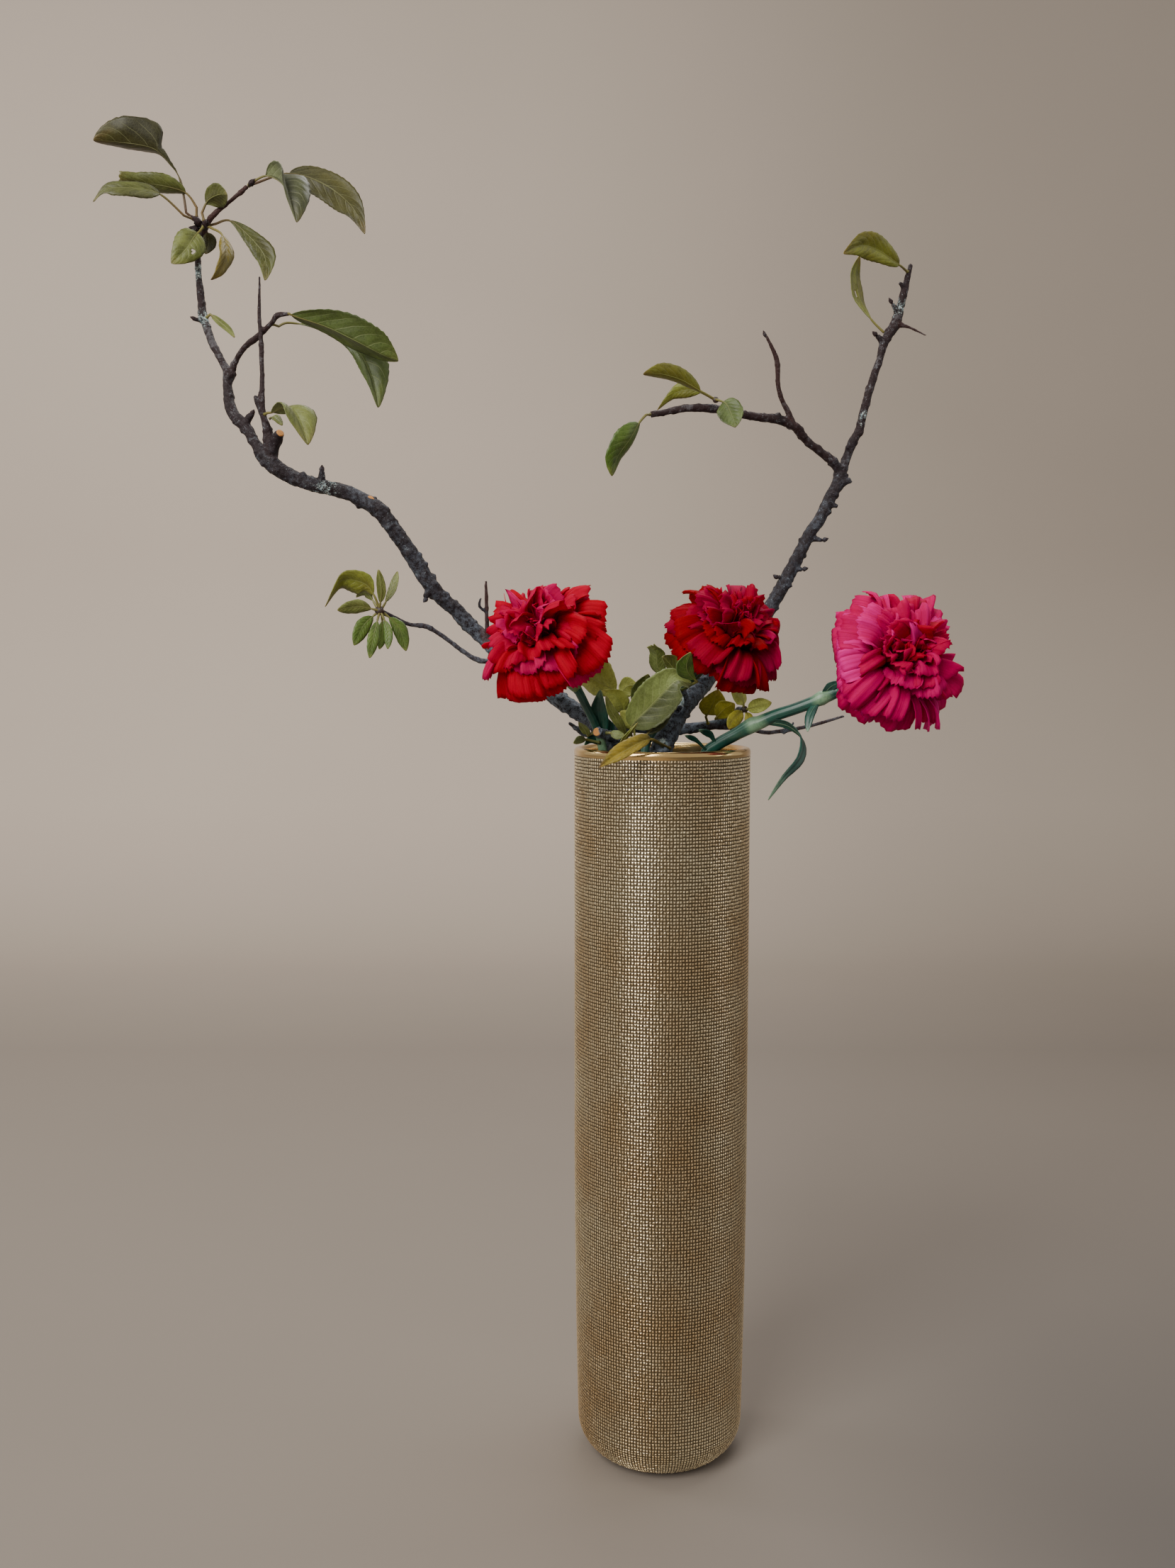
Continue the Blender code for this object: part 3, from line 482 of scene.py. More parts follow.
def floorMaterial():
    material, tree, shader = newMaterial("floorPaint", Roughness=0.75)
    value = mottled(tree, 1.2, 0.2)
    share = addNode(tree, "ShaderNodeAttribute", attribute_name="wallShare").outputs["Fac"]
    colour = blendColour(tree, share, studio["floor"], studio["wall"])
    # painted shade: the room is darker to the right, and most of all at the front right
    spot = splitPlace(tree, bodyPlace(tree))
    colour = darker(tree, colour, studio["dim"], smoothStep(tree, spot[0], -0.15, 0.75))
    near = smoothStep(tree, spot[1], 0.7, -0.25)
    corner = times(tree, near, smoothStep(tree, spot[0], -0.08, 0.3))
    colour = darker(tree, colour, studio["dark"], corner)
    feed(tree, shader, blendColour(tree, value, darker(tree, colour, studio["worn"]), colour))
    return material


leafPaint = {
    "upper": {"name": "leafUpper", "rough": 0.44, "veinColour": (0.36, 0.38, 0.18), "veinShare": 0.62,
              "bump": 0.35},
    "under": {"name": "leafUnder", "rough": 0.62, "veinColour": (0.5, 0.52, 0.32), "veinShare": 0.72,
              "bump": 0.5},
    "blotch": (0.62, 0.62, 0.5), "underTone": (0.30, 0.36, 0.2), "stalkShade": (0.55, 0.5, 0.42),
}


def leafMaterial(side):
    values = leafPaint[side]
    material, tree, shader = newMaterial(values["name"], Specular_IOR_Level=0.45, Sheen_Weight=0.08)
    veins = useGroup(tree, groups["veins"])
    spots = mottled(tree, 170.0, 0.45)
    tint = storedColour(tree, "tint")
    if side == "under":
        tint = blendColour(tree, 0.22, tint, leafPaint["underTone"])
    darkened = darker(tree, tint, leafPaint["blotch"])
    blotched = blendColour(tree, smoothStep(tree, spots, 0.36, 0.62), darkened, tint)
    veinTone = blendColour(tree, 0.5, tint, values["veinColour"])
    share = times(tree, veins["Veins"], values["veinShare"])
    feed(tree, shader, blendColour(tree, share, blotched, veinTone),
         timesPlus(tree, spots, 0.25, values["rough"] - 0.1))
    bump(tree, shader, veins["Height"], values["bump"], 0.0004)
    return material


def ribMaterial():
    # stalks and midribs
    material, tree, shader = newMaterial("leafStalk", Roughness=0.5)
    tint = storedColour(tree, "tint")
    value = mottled(tree, 260.0, 0.5)
    feed(tree, shader, blendColour(tree, value, darker(tree, tint, leafPaint["stalkShade"]), tint))
    bump(tree, shader, value, 0.3)
    return material


barkPaint = {
    "crack": (0.004, 0.003, 0.005), "bark": (0.018, 0.017, 0.023), "sheen": (0.055, 0.068, 0.09),
    "speck": (0.34, 0.42, 0.46), "young": (0.013, 0.006, 0.009), "skin": (0.1, 0.1, 0.11),
    "grey": (0.2, 0.26, 0.33), "lichen": (0.33, 0.47, 0.5), "lichenPale": (0.6, 0.68, 0.66),
    "red": (0.055, 0.02, 0.016), "youngAbove": (0.54, 0.62), "greyLitBelow": (0.51, 0.46),
}


def barkMaterial():
    material, tree, shader = newMaterial("bark", Specular_IOR_Level=0.28)
    broad = mottled(tree, 90.0, 0.35)
    flecks = mottled(tree, 420.0, 0.5)
    cells = edgeCells(tree, 520.0)
    height = splitPlace(tree, bodyPlace(tree))[2]
    colour = blendColour(tree, smoothStep(tree, broad, 0.4, 0.6), barkPaint["bark"],
                         barkPaint["sheen"])
    # higher up the bark turns smooth, dark and purplish, with pale skin peeling in streaks
    peel = blendColour(tree, smoothStep(tree, broad, 0.52, 0.6), barkPaint["young"], barkPaint["skin"])
    colour = blendColour(tree, smoothStep(tree, height, *barkPaint["youngAbove"]), colour, peel)
    # lower down, near the mouth, the bark is lighter blue-grey: partly its own colour, partly painted light
    # to lift the shade under the blooms
    old = smoothStep(tree, height, *barkPaint["greyLitBelow"])
    colour = blendColour(tree, times(tree, old, 0.75), colour, barkPaint["grey"])
    colour = blendColour(tree, smoothStep(tree, flecks, 0.53, 0.42), colour, barkPaint["crack"])
    speck = smoothStep(tree, flecks, 0.60, 0.66)
    colour = blendColour(tree, times(tree, speck, 0.8), colour, barkPaint["speck"])
    marks = addNode(tree, "ShaderNodeSeparateColor", {0: storedColour(tree, "marks")}).outputs
    colour = blendColour(tree, marks["Green"], colour, barkPaint["red"])
    crust = timesPlus(tree, flecks, 1.3, marks["Red"])
    crust = smoothStep(tree, crust, 1.02, 1.12)
    crustColour = blendColour(tree, smoothStep(tree, cells, 0.02, 0.16), barkPaint["lichen"],
                              barkPaint["lichenPale"])
    rough = timesPlus(tree, flecks, 0.5, 0.32)
    feed(tree, shader, blendColour(tree, crust, colour, crustColour),
         math2(tree, "MAXIMUM", rough, times(tree, crust, 0.85)))
    relief = timesPlus(tree, crust, 0.5, flecks)
    relief = timesPlus(tree, smoothStep(tree, cells, 0.0, 0.1), 0.25, relief)
    bump(tree, shader, relief, 0.9, 0.0005)
    return material


cutPaint = {"ring": (0.36, 0.14, 0.03), "wood": (0.62, 0.3, 0.09), "rings": 42.0}


def cutMaterial():
    # sawn wood: rings
    material, tree, shader = newMaterial("cutWood", Roughness=0.7)
    along = splitPlace(tree, sheetPlace(tree))[1]
    wander = mottled(tree, 500.0, 0.4)
    rings = timesPlus(tree, along, cutPaint["rings"], times(tree, wander, 4.0))
    rings = timesPlus(tree, math2(tree, "SINE", rings), 0.5, 0.5)
    feed(tree, shader, blendColour(tree, rings, cutPaint["ring"], cutPaint["wood"]))
    bump(tree, shader, rings, 0.3, 0.0002)
    return material


goldPaint = {"bright": (1.0, 0.87, 0.58), "warm": (0.86, 0.62, 0.33), "groove": (0.06, 0.038, 0.016),
             "rim": (0.8, 0.68, 0.46), "rough": 0.26, "grooveFrom": (0.26, 0.42), "grooveBump": 0.8,
             # inside and insideWorn: the inside's painted shade, with lighter random blotches
             "inside": (0.03, 0.02, 0.008), "insideWorn": (0.12, 0.08, 0.03)}


def goldMaterial(beaded):
    material, tree, shader = newMaterial("goldBeads" if beaded else "goldRim", Metallic=1.0,
                                         Coat_Weight=0.35, Coat_Roughness=0.22)
    clouds = mottled(tree, 14.0, 0.2)
    colour = blendColour(tree, smoothStep(tree, clouds, 0.3, 0.7), goldPaint["warm"],
                         goldPaint["bright"])
    rough = timesPlus(tree, clouds, 0.12, goldPaint["rough"] - (0.02 if beaded else 0.14))
    if beaded:
        edges = []
        split = splitPlace(tree, sheetPlace(tree))
        for socket, count in ((0, vase["columns"]), (1, len(vaseOutline()) - 1)):
            step = math2(tree, "FRACT", times(tree, split[socket], float(count)))
            edges.append(math2(tree, "ABSOLUTE", math2(tree, "SUBTRACT", step, 0.5)))
        # painted shade: the grooves between the beads are painted near black
        groove = smoothStep(tree, math2(tree, "MAXIMUM", *edges), *goldPaint["grooveFrom"])
        colour = blendColour(tree, times(tree, groove, 0.95), colour, goldPaint["groove"])
        rough = timesPlus(tree, groove, 0.25, rough)
        bump(tree, shader, math2(tree, "SUBTRACT", 1.0, groove), goldPaint["grooveBump"], 0.0005)
    else:
        colour = darker(tree, colour, goldPaint["rim"])
    feed(tree, shader, colour, rough)
    return material


def innerMaterial():
    # the inside of the vase, painted dark as shade, with lighter blotches at random
    material, tree, shader = newMaterial("vaseInside", Metallic=0.7)
    value = mottled(tree, 40.0, 0.3)
    feed(tree, shader, blendColour(tree, value, goldPaint["inside"], goldPaint["insideWorn"]),
         timesPlus(tree, value, 0.3, 0.4))
    return material


stemPaint = {"shade": (0.5, 0.62, 0.6), "line": (0.35, 0.5, 0.42), "lineShare": 0.25}


def stemMaterial():
    # waxy blue-green with fine lengthwise lines
    material, tree, shader = newMaterial("carnationStem", Coat_Weight=0.15, Coat_Roughness=0.3)
    tint = storedColour(tree, "tint")
    value = mottled(tree, 150.0, 0.4)
    lines = lengthwise(tree, 26.0, 1.5)
    dark = darker(tree, tint, stemPaint["shade"])
    colour = blendColour(tree, smoothStep(tree, value, 0.34, 0.6), dark, tint)
    pale = times(tree, smoothStep(tree, lines, 0.5, 0.75), stemPaint["lineShare"])
    feed(tree, shader, blendColour(tree, pale, colour, stemPaint["line"]),
         timesPlus(tree, value, 0.3, 0.28))
    bump(tree, shader, lines, 0.25, 0.0002)
    return material


petalPaint = {"shade": (0.78, 0.6, 0.66), "glow": 0.2, "glowDepth": 0.004, "glowSpread": (1.0, 0.15, 0.25)}


def petalMaterial(name):
    # velvety, with fine streaks that fan out from the petal's foot
    material, tree, shader = newMaterial(
        "petal" + name.capitalize(), Specular_IOR_Level=0.03, Subsurface_Weight=petalPaint["glow"],
        Subsurface_Scale=petalPaint["glowDepth"], Subsurface_Radius=petalPaint["glowSpread"])
    tint = storedColour(tree, "tint")
    streaks = lengthwise(tree, 34.0, 2.2)
    value = mottled(tree, 140.0, 0.3)
    deep = darker(tree, tint, petalPaint["shade"])
    colour = blendColour(tree, smoothStep(tree, streaks, 0.36, 0.56), deep, tint)
    shade = times(tree, smoothStep(tree, value, 0.6, 0.4), 0.35)
    feed(tree, shader, blendColour(tree, shade, colour, deep),
         timesPlus(tree, value, 0.3, 0.4))
    bump(tree, shader, timesPlus(tree, value, 0.6, streaks), 0.25, 0.0004)
    return material


waterPaint = {"deep": (0.72, 0.85, 0.8), "clear": (0.9, 0.96, 0.94)}


def waterMaterial():
    material, tree, shader = newMaterial("water", Transmission_Weight=1.0, IOR=1.33, Roughness=0.02)
    value = mottled(tree, 60.0, 0.2)
    feed(tree, shader, blendColour(tree, value, waterPaint["deep"], waterPaint["clear"]))
    bump(tree, shader, value, 0.05)
    return material


vase = {"height": 420.0, "radius": 51.0, "wall": 4.5, "floor": 8.0, "taper": 0.05,
        "taperHeight": 170.0, "footRound": 20.5, "columns": 176, "rowStep": 1.93, "beadDepth": 0.42,
        "plainLip": 4.5, "turnWobble": 0.1, "riseWobble": 0.17, "outWobble": (-0.08, 0.03),
        "crownShift": 0.32, "crownSink": (0.04, 0.12), "steadyRows": 8, "innerRows": 12,
        "innerLevels": (415.5, 400, 350, 260, 170, 110, 60, 30)}


def vaseRadius(height):
    share = max(0.0, 1 - height / vase["taperHeight"])
    return vase["radius"] * (1 - vase["taper"] * share ** 1.6)


def vaseOutline():
    # (radius, height, beaded) from the middle of the foot, over the lip and down to the inner floor
    bend = vase["footRound"]
    flat = vaseRadius(bend) - bend
    depth = vase["beadDepth"]
    outline = [(0.0, 0.0, False), (flat * 0.5, 0.0, False), (flat - 1.0, 0.0, False)]
    angle = 0.0
    while angle < 90:
        radius = flat + (bend - depth) * math.sin(math.radians(angle))
        outline.append((radius, depth + (bend - depth) * (1 - math.cos(math.radians(angle))), True))
        angle += math.degrees(math.tau * radius / vase["columns"] / bend)
    top = vase["height"] - vase["plainLip"]
    rows = round((top - bend) / vase["rowStep"])
    for row in range(rows + 1):
        level = bend + (top - bend) * row / rows
        outline.append((vaseRadius(level) - depth, level, row < rows))
    outline.append((vase["radius"] - 0.05, top + 0.5, False))
    lip = vase["wall"] / 2
    for step in range(9):
        turn = math.radians(180 * step / 8)
        outline.append((vase["radius"] - 0.05 - lip + lip * math.cos(turn),
                        vase["height"] - lip + lip * math.sin(turn), False))
    for level in vase["innerLevels"]:
        outline.append((vaseRadius(level) - vase["wall"], float(level), False))
    inner = bend - vase["wall"]
    for step in range(1, 5):
        turn = math.radians(90 * step / 4)
        outline.append((flat + inner * math.cos(turn), vase["floor"] + inner * (1 - math.sin(turn)), False))
    outline.append((0.0, vase["floor"], False))
    return outline


def makeVase():
    rng = random.Random(4)
    outline = vaseOutline()
    columns, rows = vase["columns"], len(outline) - 1
    insideFrom = rows - vase["innerRows"]    # the wall's inner side starts at this row
    piece = addSheet("vaseShell", columns, rows)
    dress(piece, goldMaterial(True), goldMaterial(False), innerMaterial())
    for face in piece.data.polygons:
        row = int((face.center.y + 0.5) * rows)
        beaded = outline[row][2]
        face.material_index = 0 if beaded else 2 if row > insideFrom else 1
        face.use_smooth = not beaded
    wobble = {}

    def place(column, row):
        radius, height, beaded = outline[row]
        key = (column % columns, row)
        if key not in wobble:
            wobble[key] = (rng.uniform(-vase["turnWobble"], vase["turnWobble"]),
                           rng.uniform(-vase["riseWobble"], vase["riseWobble"]),
                           rng.uniform(*vase["outWobble"]))
        turn, rise, out = wobble[key] if beaded else (0.0, 0.0, 0.0)
        angle = math.tau * (column % columns + turn) / columns
        return Vector(((radius + out) * math.cos(angle), (radius + out) * math.sin(angle),
                       height + (rise if row > vase["steadyRows"] else 0.0)))

    shapeSheet(piece, columns, rows, place)
    mergeSeams(piece)
    old = len(piece.data.vertices)
    openFaces(piece, lambda face: face.material_index == 0)
    bpy.ops.mesh.poke(offset=vase["beadDepth"] * mm)
    closeFaces()
    shift = vase["crownShift"]
    for vertex in piece.data.vertices[old:]:
        # each bead's crown sits a little off its middle
        out = Vector((vertex.co.x, vertex.co.y, 0)).normalized()
        aside = Vector((-out.y, out.x, 0))
        vertex.co += (aside * rng.uniform(-shift, shift) + Vector((0, 0, rng.uniform(-shift, shift)))
                      - out * rng.uniform(*vase["crownSink"])) * mm
        vertex.co.z = max(vertex.co.z, 0.0)
    finishPiece(piece, "vase")


# branches are lists of (x, y, z, diameter)
leftBough = {
    "trunk": [(36, 18, 266, 9.6), (-28, 6, 420, 10.4), (-39, 8, 434, 10.2), (-46, 12, 438, 10),
        (-60, 18, 447, 10), (-81, 22, 462, 9.6), (-96, 22, 475, 9.4), (-109, 21, 487, 8.8),
        (-116, 19, 494, 9.2), (-121, 16, 500, 8.6), (-129, 12, 507, 8.8), (-134, 9, 513, 9.2),
        (-145, 4, 531, 9.2), (-150, 1, 539, 8.8), (-162, -4, 555, 9.4), (-170, -5, 560, 8.8),
        (-179, -7, 564, 8.2), (-200, -12, 569, 8.2), (-211, -13, 573, 8.2), (-217, -14, 577, 8.8),
        (-223, -14, 582, 8.2), (-227, -12, 588, 6.8), (-231, -10, 593, 6), (-234, -8, 599, 6.2),
        (-239, -5, 604, 7), (-243, -3, 608, 6.6), (-246, 0, 614, 6.2), (-247, 2, 619, 6.4),
        (-248, 4, 626, 5), (-247, 5, 633, 7.4)],
    "leader": [(-247, 4, 632, 5), (-254, 8, 644, 4.2), (-258, 11, 651, 4.6), (-264, 15, 667, 5),
        (-265, 16, 675, 4.6), (-267, 18, 693, 3.6), (-267, 19, 704, 3.4), (-266, 20, 713, 3.8),
        (-264, 20, 718, 6)],
    "redTwig": [(-264, 20, 716, 4), (-258, 17, 723, 3), (-246, 16, 732, 2.4), (-237, 15, 739, 2.6)],
    "forkTwig": [(-246, 5, 633, 4.6), (-242, 2, 640, 3.2), (-236, -2, 646, 3.2), (-230, -6, 649, 3.8),
        (-225, -9, 652, 3), (-218, -13, 657, 2.8), (-215, -15, 660, 3.2), (-208, -18, 660, 2.2)],
    "uprightTwig": [(-220, -13, 580, 7), (-220, -15, 588, 8), (-221, -16, 596, 5.4), (-223, -17, 604, 4),
        (-224, -17, 612, 3.6), (-224, -15, 625, 2.7), (-225, -12, 648, 2.6), (-226, -10, 661, 2.2),
        (-226, -8, 683, 1.3)],
    "uprightBud": [(-224, -17, 606, 3.4), (-226, -17, 612, 3.8), (-228, -17, 616, 1.8)],
    "cutKnob": [(-219, -15, 587, 7), (-216, -18, 592, 6.6), (-213, -22, 595, 5)],
    "darkSpur": [(-237, -6, 601, 5), (-233, -8, 606, 3.8), (-231, -9, 608, 2.4)],
    "crownSpur1": [(-264, 20, 717, 5), (-267, 16.5, 720.5, 4.4)],
    "crownSpur2": [(-264, 20, 717, 5), (-262, 15.5, 718, 4.4)],
    "knobSpur": [(-193, -11, 567, 5), (-192, -13, 573, 4), (-192, -14, 576, 2.6)],
    "cutStub": [(-167, -3, 559, 6), (-166, -8, 560, 5.6)],
    "swellingSpur": [(-132, 11, 511, 7), (-135, 8, 509, 5.4), (-137, 6, 506, 3)],
    "sideBud": [(-264, 14, 664, 3.6), (-268, 11, 664, 2)],
    "brownTwig": [(-102, 21, 481, 4), (-102, 16, 490, 2.8), (-102, 13, 497, 2.4), (-102, 11, 506, 2.2),
        (-102, 9, 516, 1.4)],
    "brownSpur": [(-102, 13, 498, 2), (-106, 10, 501, 2), (-105, 9, 506, 1.4)],
    "longTwig": [(-87, 20, 467, 4), (-96, 14, 469, 3), (-107, 8, 470, 3.2), (-115, 4, 475, 2.6),
        (-128, -4, 485, 2.6), (-135, -9, 489, 3), (-144, -14, 490, 2.4), (-152, -21, 494, 2.4),
        (-156.5, -27, 496, 3)],
    "mouthTwig": [(-38, 7, 426, 4), (-46, 5, 427, 2.6), (-49, 2, 430, 2.8), (-54, -2, 434, 2)],
    "lowArm": [(-33, 8, 424, 7), (-28, 15, 430, 7.4), (-20, 21, 431, 7.6), (-10, 24, 430, 7),
        (6, 24, 429, 7), (20, 22, 430, 6.4), (32, 20, 432, 6), (40, 13, 436, 5), (44, 5, 440, 4.2),
        (46.2, -5.4, 442, 3.2)],
    "thinTwig": [(30, 20, 431, 4), (50, 10, 430, 2.6), (60, 6, 428, 2.4), (70, 4, 429, 2.6),
        (85, 0, 432, 2.2), (104, -6, 438, 1.6)],
    "twigBud": [(70, 4, 428, 3), (74, 2, 431, 2), (76, 0, 434, 1.4)],
    "cutBranch": [(-28, 2, 417, 7), (-27, -4, 422, 6.2), (-28.4, -11, 425.5, 5.6), (-34, -20, 428.5, 5.6),
        (-38, -27, 430, 5.4)],
    "cutShoot": [(-27, 3, 418, 6), (-24, -10, 424, 5), (-26, -18, 427, 4.6)],
    "innerSpur": [(-27, 6, 416, 6), (-22, -4, 420, 5), (-18, -11, 422, 4), (-18.5, -16, 423.5, 3.6)],
    "leafySpur": [(-22, 20, 431, 5), (-21, 8, 437, 4), (-20.5, -8.5, 443.6, 5)],
}
rightBough = {
    "trunk": [(-31, -22, 285, 12), (-1, -17, 420, 12.8), (7, -9, 437, 12.6), (14, 0, 447, 12.4),
        (21, 9, 454, 12.2), (37, 20, 472, 11.4), (51, 24, 486, 10), (64, 25, 500, 8.8),
        (70, 25, 510, 8.2), (75, 25, 519, 8.4), (81, 25, 531, 7.4), (89, 26, 546, 7), (95, 27, 555, 7),
        (101, 29, 567, 7.2), (105, 31, 574, 7.6), (107, 32, 580, 9.4)],
    "rightArm": [(107, 32, 579, 6), (110, 31, 590, 5.2), (113, 30, 598, 5.8), (117, 30, 606, 5),
        (119, 30, 615, 4.8), (126, 34, 638, 4.6), (129, 35, 646, 4.4), (132, 36, 657, 5.4),
        (139, 38, 669, 6), (142, 38, 681, 4.6), (145, 38, 693, 4), (147, 38, 702, 2.6)],
    "leftArm": [(106, 31, 581, 5), (100, 28, 587, 5.6), (92, 24, 592, 4.8), (83, 18, 598, 4.8),
        (76, 12, 604, 5.6), (65, 6, 607, 5.6), (56, 0, 607, 4.8), (44, -5, 608, 4.4), (25, -12, 610, 4.8),
        (10, -17, 609, 4.2), (-2, -21, 606, 3.6), (-8, -23, 605, 3.8)],
    "armTwig": [(76, 12, 603, 4.4), (72, 8, 611, 3.4), (68, 5, 617, 2.8), (65, 2, 625, 2.6),
        (64, 0, 638, 3), (60, -2, 647, 2.2), (57, -3, 652, 1.6)],
    "thorn": [(139, 38, 668, 4), (147, 36, 665, 1.6), (156, 34, 660, 1.1)],
    "spur1": [(74, 25, 516, 5), (69, 22, 519, 2.4)],
    "spur2": [(70, 25, 511, 5), (77, 22, 514, 2.4)],
    "spur3": [(77, 25, 524, 5), (83, 22, 523, 2.4)],
    "spur4": [(88, 26, 542, 5), (95, 24, 540, 2.4)],
    "spur5": [(98, 28, 562, 5), (104, 26, 560, 2.4)],
    "spur6": [(106, 31, 580, 5), (102, 28, 585, 2.8)],
    "spur7": [(113, 30, 598, 4), (109, 28, 594, 2.4)],
    "spur8": [(104, 30, 573, 6), (112, 28, 576, 3)],
    "spur9": [(67, 7, 606, 5), (65, 4, 610, 3)],
    "spur10": [(140, 38, 674, 4), (136, 36, 679, 2.2)],
    "spur11": [(144, 38, 688, 4), (140, 36, 691, 2)],
    "spur12": [(132, 36, 656, 5), (127, 34, 660, 3)],
    "spur13": [(26, -12, 610, 4), (27, -13.8, 611.6, 2.4)],
    "mouthShoot": [(7, -9, 436, 6), (10.5, -16, 440, 3.4), (12.5, -23, 446, 3), (11, -28, 451, 3),
        (9, -30, 453.5, 4)],
}
wood = {
    "grain": 0.65, "step": 2.0, "sides": 16,
    # relief: how high each kind of bump stands, and how wide it spreads
    "relief": {"lump": 0.5, "knot": 0.42, "fleck": 0.2, "wart": 2.6},
    "spread": {"lump": 7.0, "knot": 2.6, "fleck": 1.1, "wart": 4.2},
    "wartFrom": 0.22, "fullRelief": 4.0, "redElsewhere": 0.12,
    # lichen: a spot, how far it reaches and how strong it is
    "lichen": [((10, -9, 447), 7, 1.1), ((4, -15, 432), 6, 0.9), ((-1, -22, 424), 5, 0.7),
        ((60, 25, 497), 9, 0.8), ((-150, 1, 540), 12, 0.35), ((-190, -10, 567), 22, 0.45),
        ((-262, 14, 665), 16, 0.5), ((-267, 18, 692), 14, 0.5), ((-200, -12, 570), 12, 0.4),
        ((118, 30, 612), 16, 0.4), ((141, 38, 676), 14, 0.5), ((60, 4, 607), 16, 0.35),
        ((100, 29, 566), 10, 0.4)],
    "red": {"redTwig": 0.75, "brownTwig": 0.7, "longTwig": 0.35, "forkTwig": 0.3, "thinTwig": 0.6,
        "armTwig": 0.55, "uprightTwig": 0.25, "thorn": 0.5, "leader": 0.2, "leftArm": 0.3,
        "rightArm": 0.2, "mouthTwig": 0.3},
    # cut ends: centre, facing, width
    "cuts": {
        "cutStub": ((-166, -8, 560), (0.2, -1, 0.2), 5.6),
        "cutKnob": ((-213, -22, 595), (0.51, -0.68, 0.51), 5.0),
        "cutBranch": ((-38, -27, 430), (-0.49, -0.85, 0.18), 5.4),
        "cutShoot": ((-26, -18, 427), (-0.23, -0.91, 0.34), 4.6),
    },
    # buds: foot, direction, length, width
    "buds": {
        "left_bough": [((-264, 17, 718), (-0.6, -0.5, 0.5), 8, 4.2),
            ((-262, 16, 717), (0.4, -0.8, 0.3), 7, 4.0), ((-266, 18, 716), (-0.8, -0.2, 0.1), 6, 3.6),
            ((-236, 14, 739), (0.7, -0.3, 0.5), 6, 3.4), ((-226, -10, 612), (-0.5, -0.1, 0.9), 5, 2.6),
            ((-267, 12, 664), (-0.9, -0.2, 0.4), 4, 2.4), ((-232, -8, 607), (0.5, -0.4, 0.7), 4, 2.8),
            ((-192, -13, 575), (0.1, -0.3, 1.0), 4, 3.0), ((-136, 7, 506), (-0.5, -0.4, -0.7), 4, 3.0)],
        "right_bough": [((69, 23, 518), (-0.8, -0.3, 0.5), 4, 2.8),
            ((83, 22, 523), (0.8, -0.4, 0.2), 4, 2.8), ((95, 24, 540), (0.8, -0.3, 0.3), 4, 2.8),
            ((136, 36, 679), (-0.6, -0.3, 0.8), 4, 2.4), ((57, -3, 651), (-0.4, -0.1, 1.0), 4, 2.0),
            ((127, 34, 660), (-0.8, -0.3, 0.6), 4, 2.8)],
    },
}


def branchStations(points, step):
    # points are (x, y, z, diameter)
    route = [Vector(point[:3]) for point in points]
    places = evenCurve(route, step)
    found = []
    at = 0
    for index in range(len(route) - 1):
        length = (route[index + 1] - route[index]).length
        steps = max(int(length / step), 2)
        for number in range(steps + (index == len(route) - 2)):
            t = number / steps
            ease = t * t * (3 - 2 * t)
            width = points[index][3] + (points[index + 1][3] - points[index][3]) * ease
            found.append((places[at], width / 2))
            at += 1
    return found


def makeBough(node, branches, rng):
    tubes = []
    places = []
    for name, points in branches.items():
        stations = branchStations(points, wood["step"])
        tubes.append(addTube(name, stations, wood["sides"]))
        places += [(point, name) for point, radius in stations]
    piece = joinPieces(tubes, camelName(node))
    applyModifier(piece, "REMESH", mode="VOXEL", voxel_size=wood["grain"] * mm)
    applyModifier(piece, "SMOOTH", factor=0.5, iterations=2)
    tree = kdtree.KDTree(len(places))
    for index, (point, name) in enumerate(places):
        tree.insert(point, index)
    tree.balance()
    shift = rng.uniform(0, 50)
    relief, spread = wood["relief"], wood["spread"]
    normals = [vertex.normal.copy() for vertex in piece.data.vertices]
    marks = []
    for vertex, normal in zip(piece.data.vertices, normals):
        point = vertex.co / mm
        near, index, distance = tree.find(point)
        size = min(distance / wood["fullRelief"], 1.0)    # thin twigs get less relief
        lump = noise.noise(point / spread["lump"] + Vector((shift, 0, 0)))
        knot = noise.noise(point / spread["knot"])
        fleck = noise.noise(point / spread["fleck"])
        wart = max(noise.noise(point / spread["wart"] + Vector((0, shift, 0))) - wood["wartFrom"], 0.0)
        rise = (relief["lump"] * lump + relief["knot"] * knot + relief["fleck"] * fleck
                + relief["wart"] * wart) * size
        vertex.co += normal * rise * mm
        lichen = 0.0
        for spot, reach, strength in wood["lichen"]:
            lichen = max(lichen, strength * (1 - (point - Vector(spot)).length / reach))
        marks.append((lichen, wood["red"].get(places[index][1], wood["redElsewhere"]), 0.0))
    storeColours(piece, "marks", marks)
    piece.data.shade_smooth()
    dress(piece, materials["bark"])
    finishPiece(piece, node)


def makeCutEnds():
    for name, (centre, facing, width) in wood["cuts"].items():
        half = width / 2 * 0.86
        outline = [(0.0, 0.35), (half * 0.3, 0.36), (half * 0.65, 0.34), (half * 0.92, 0.28),
                   (half, 0.1), (half, -0.8), (0.0, -0.8)]
        piece = addTurned(name, outline, centre, facing, 24)
        dress(piece, materials["cutWood"])
        finishPiece(piece, "left_bough")


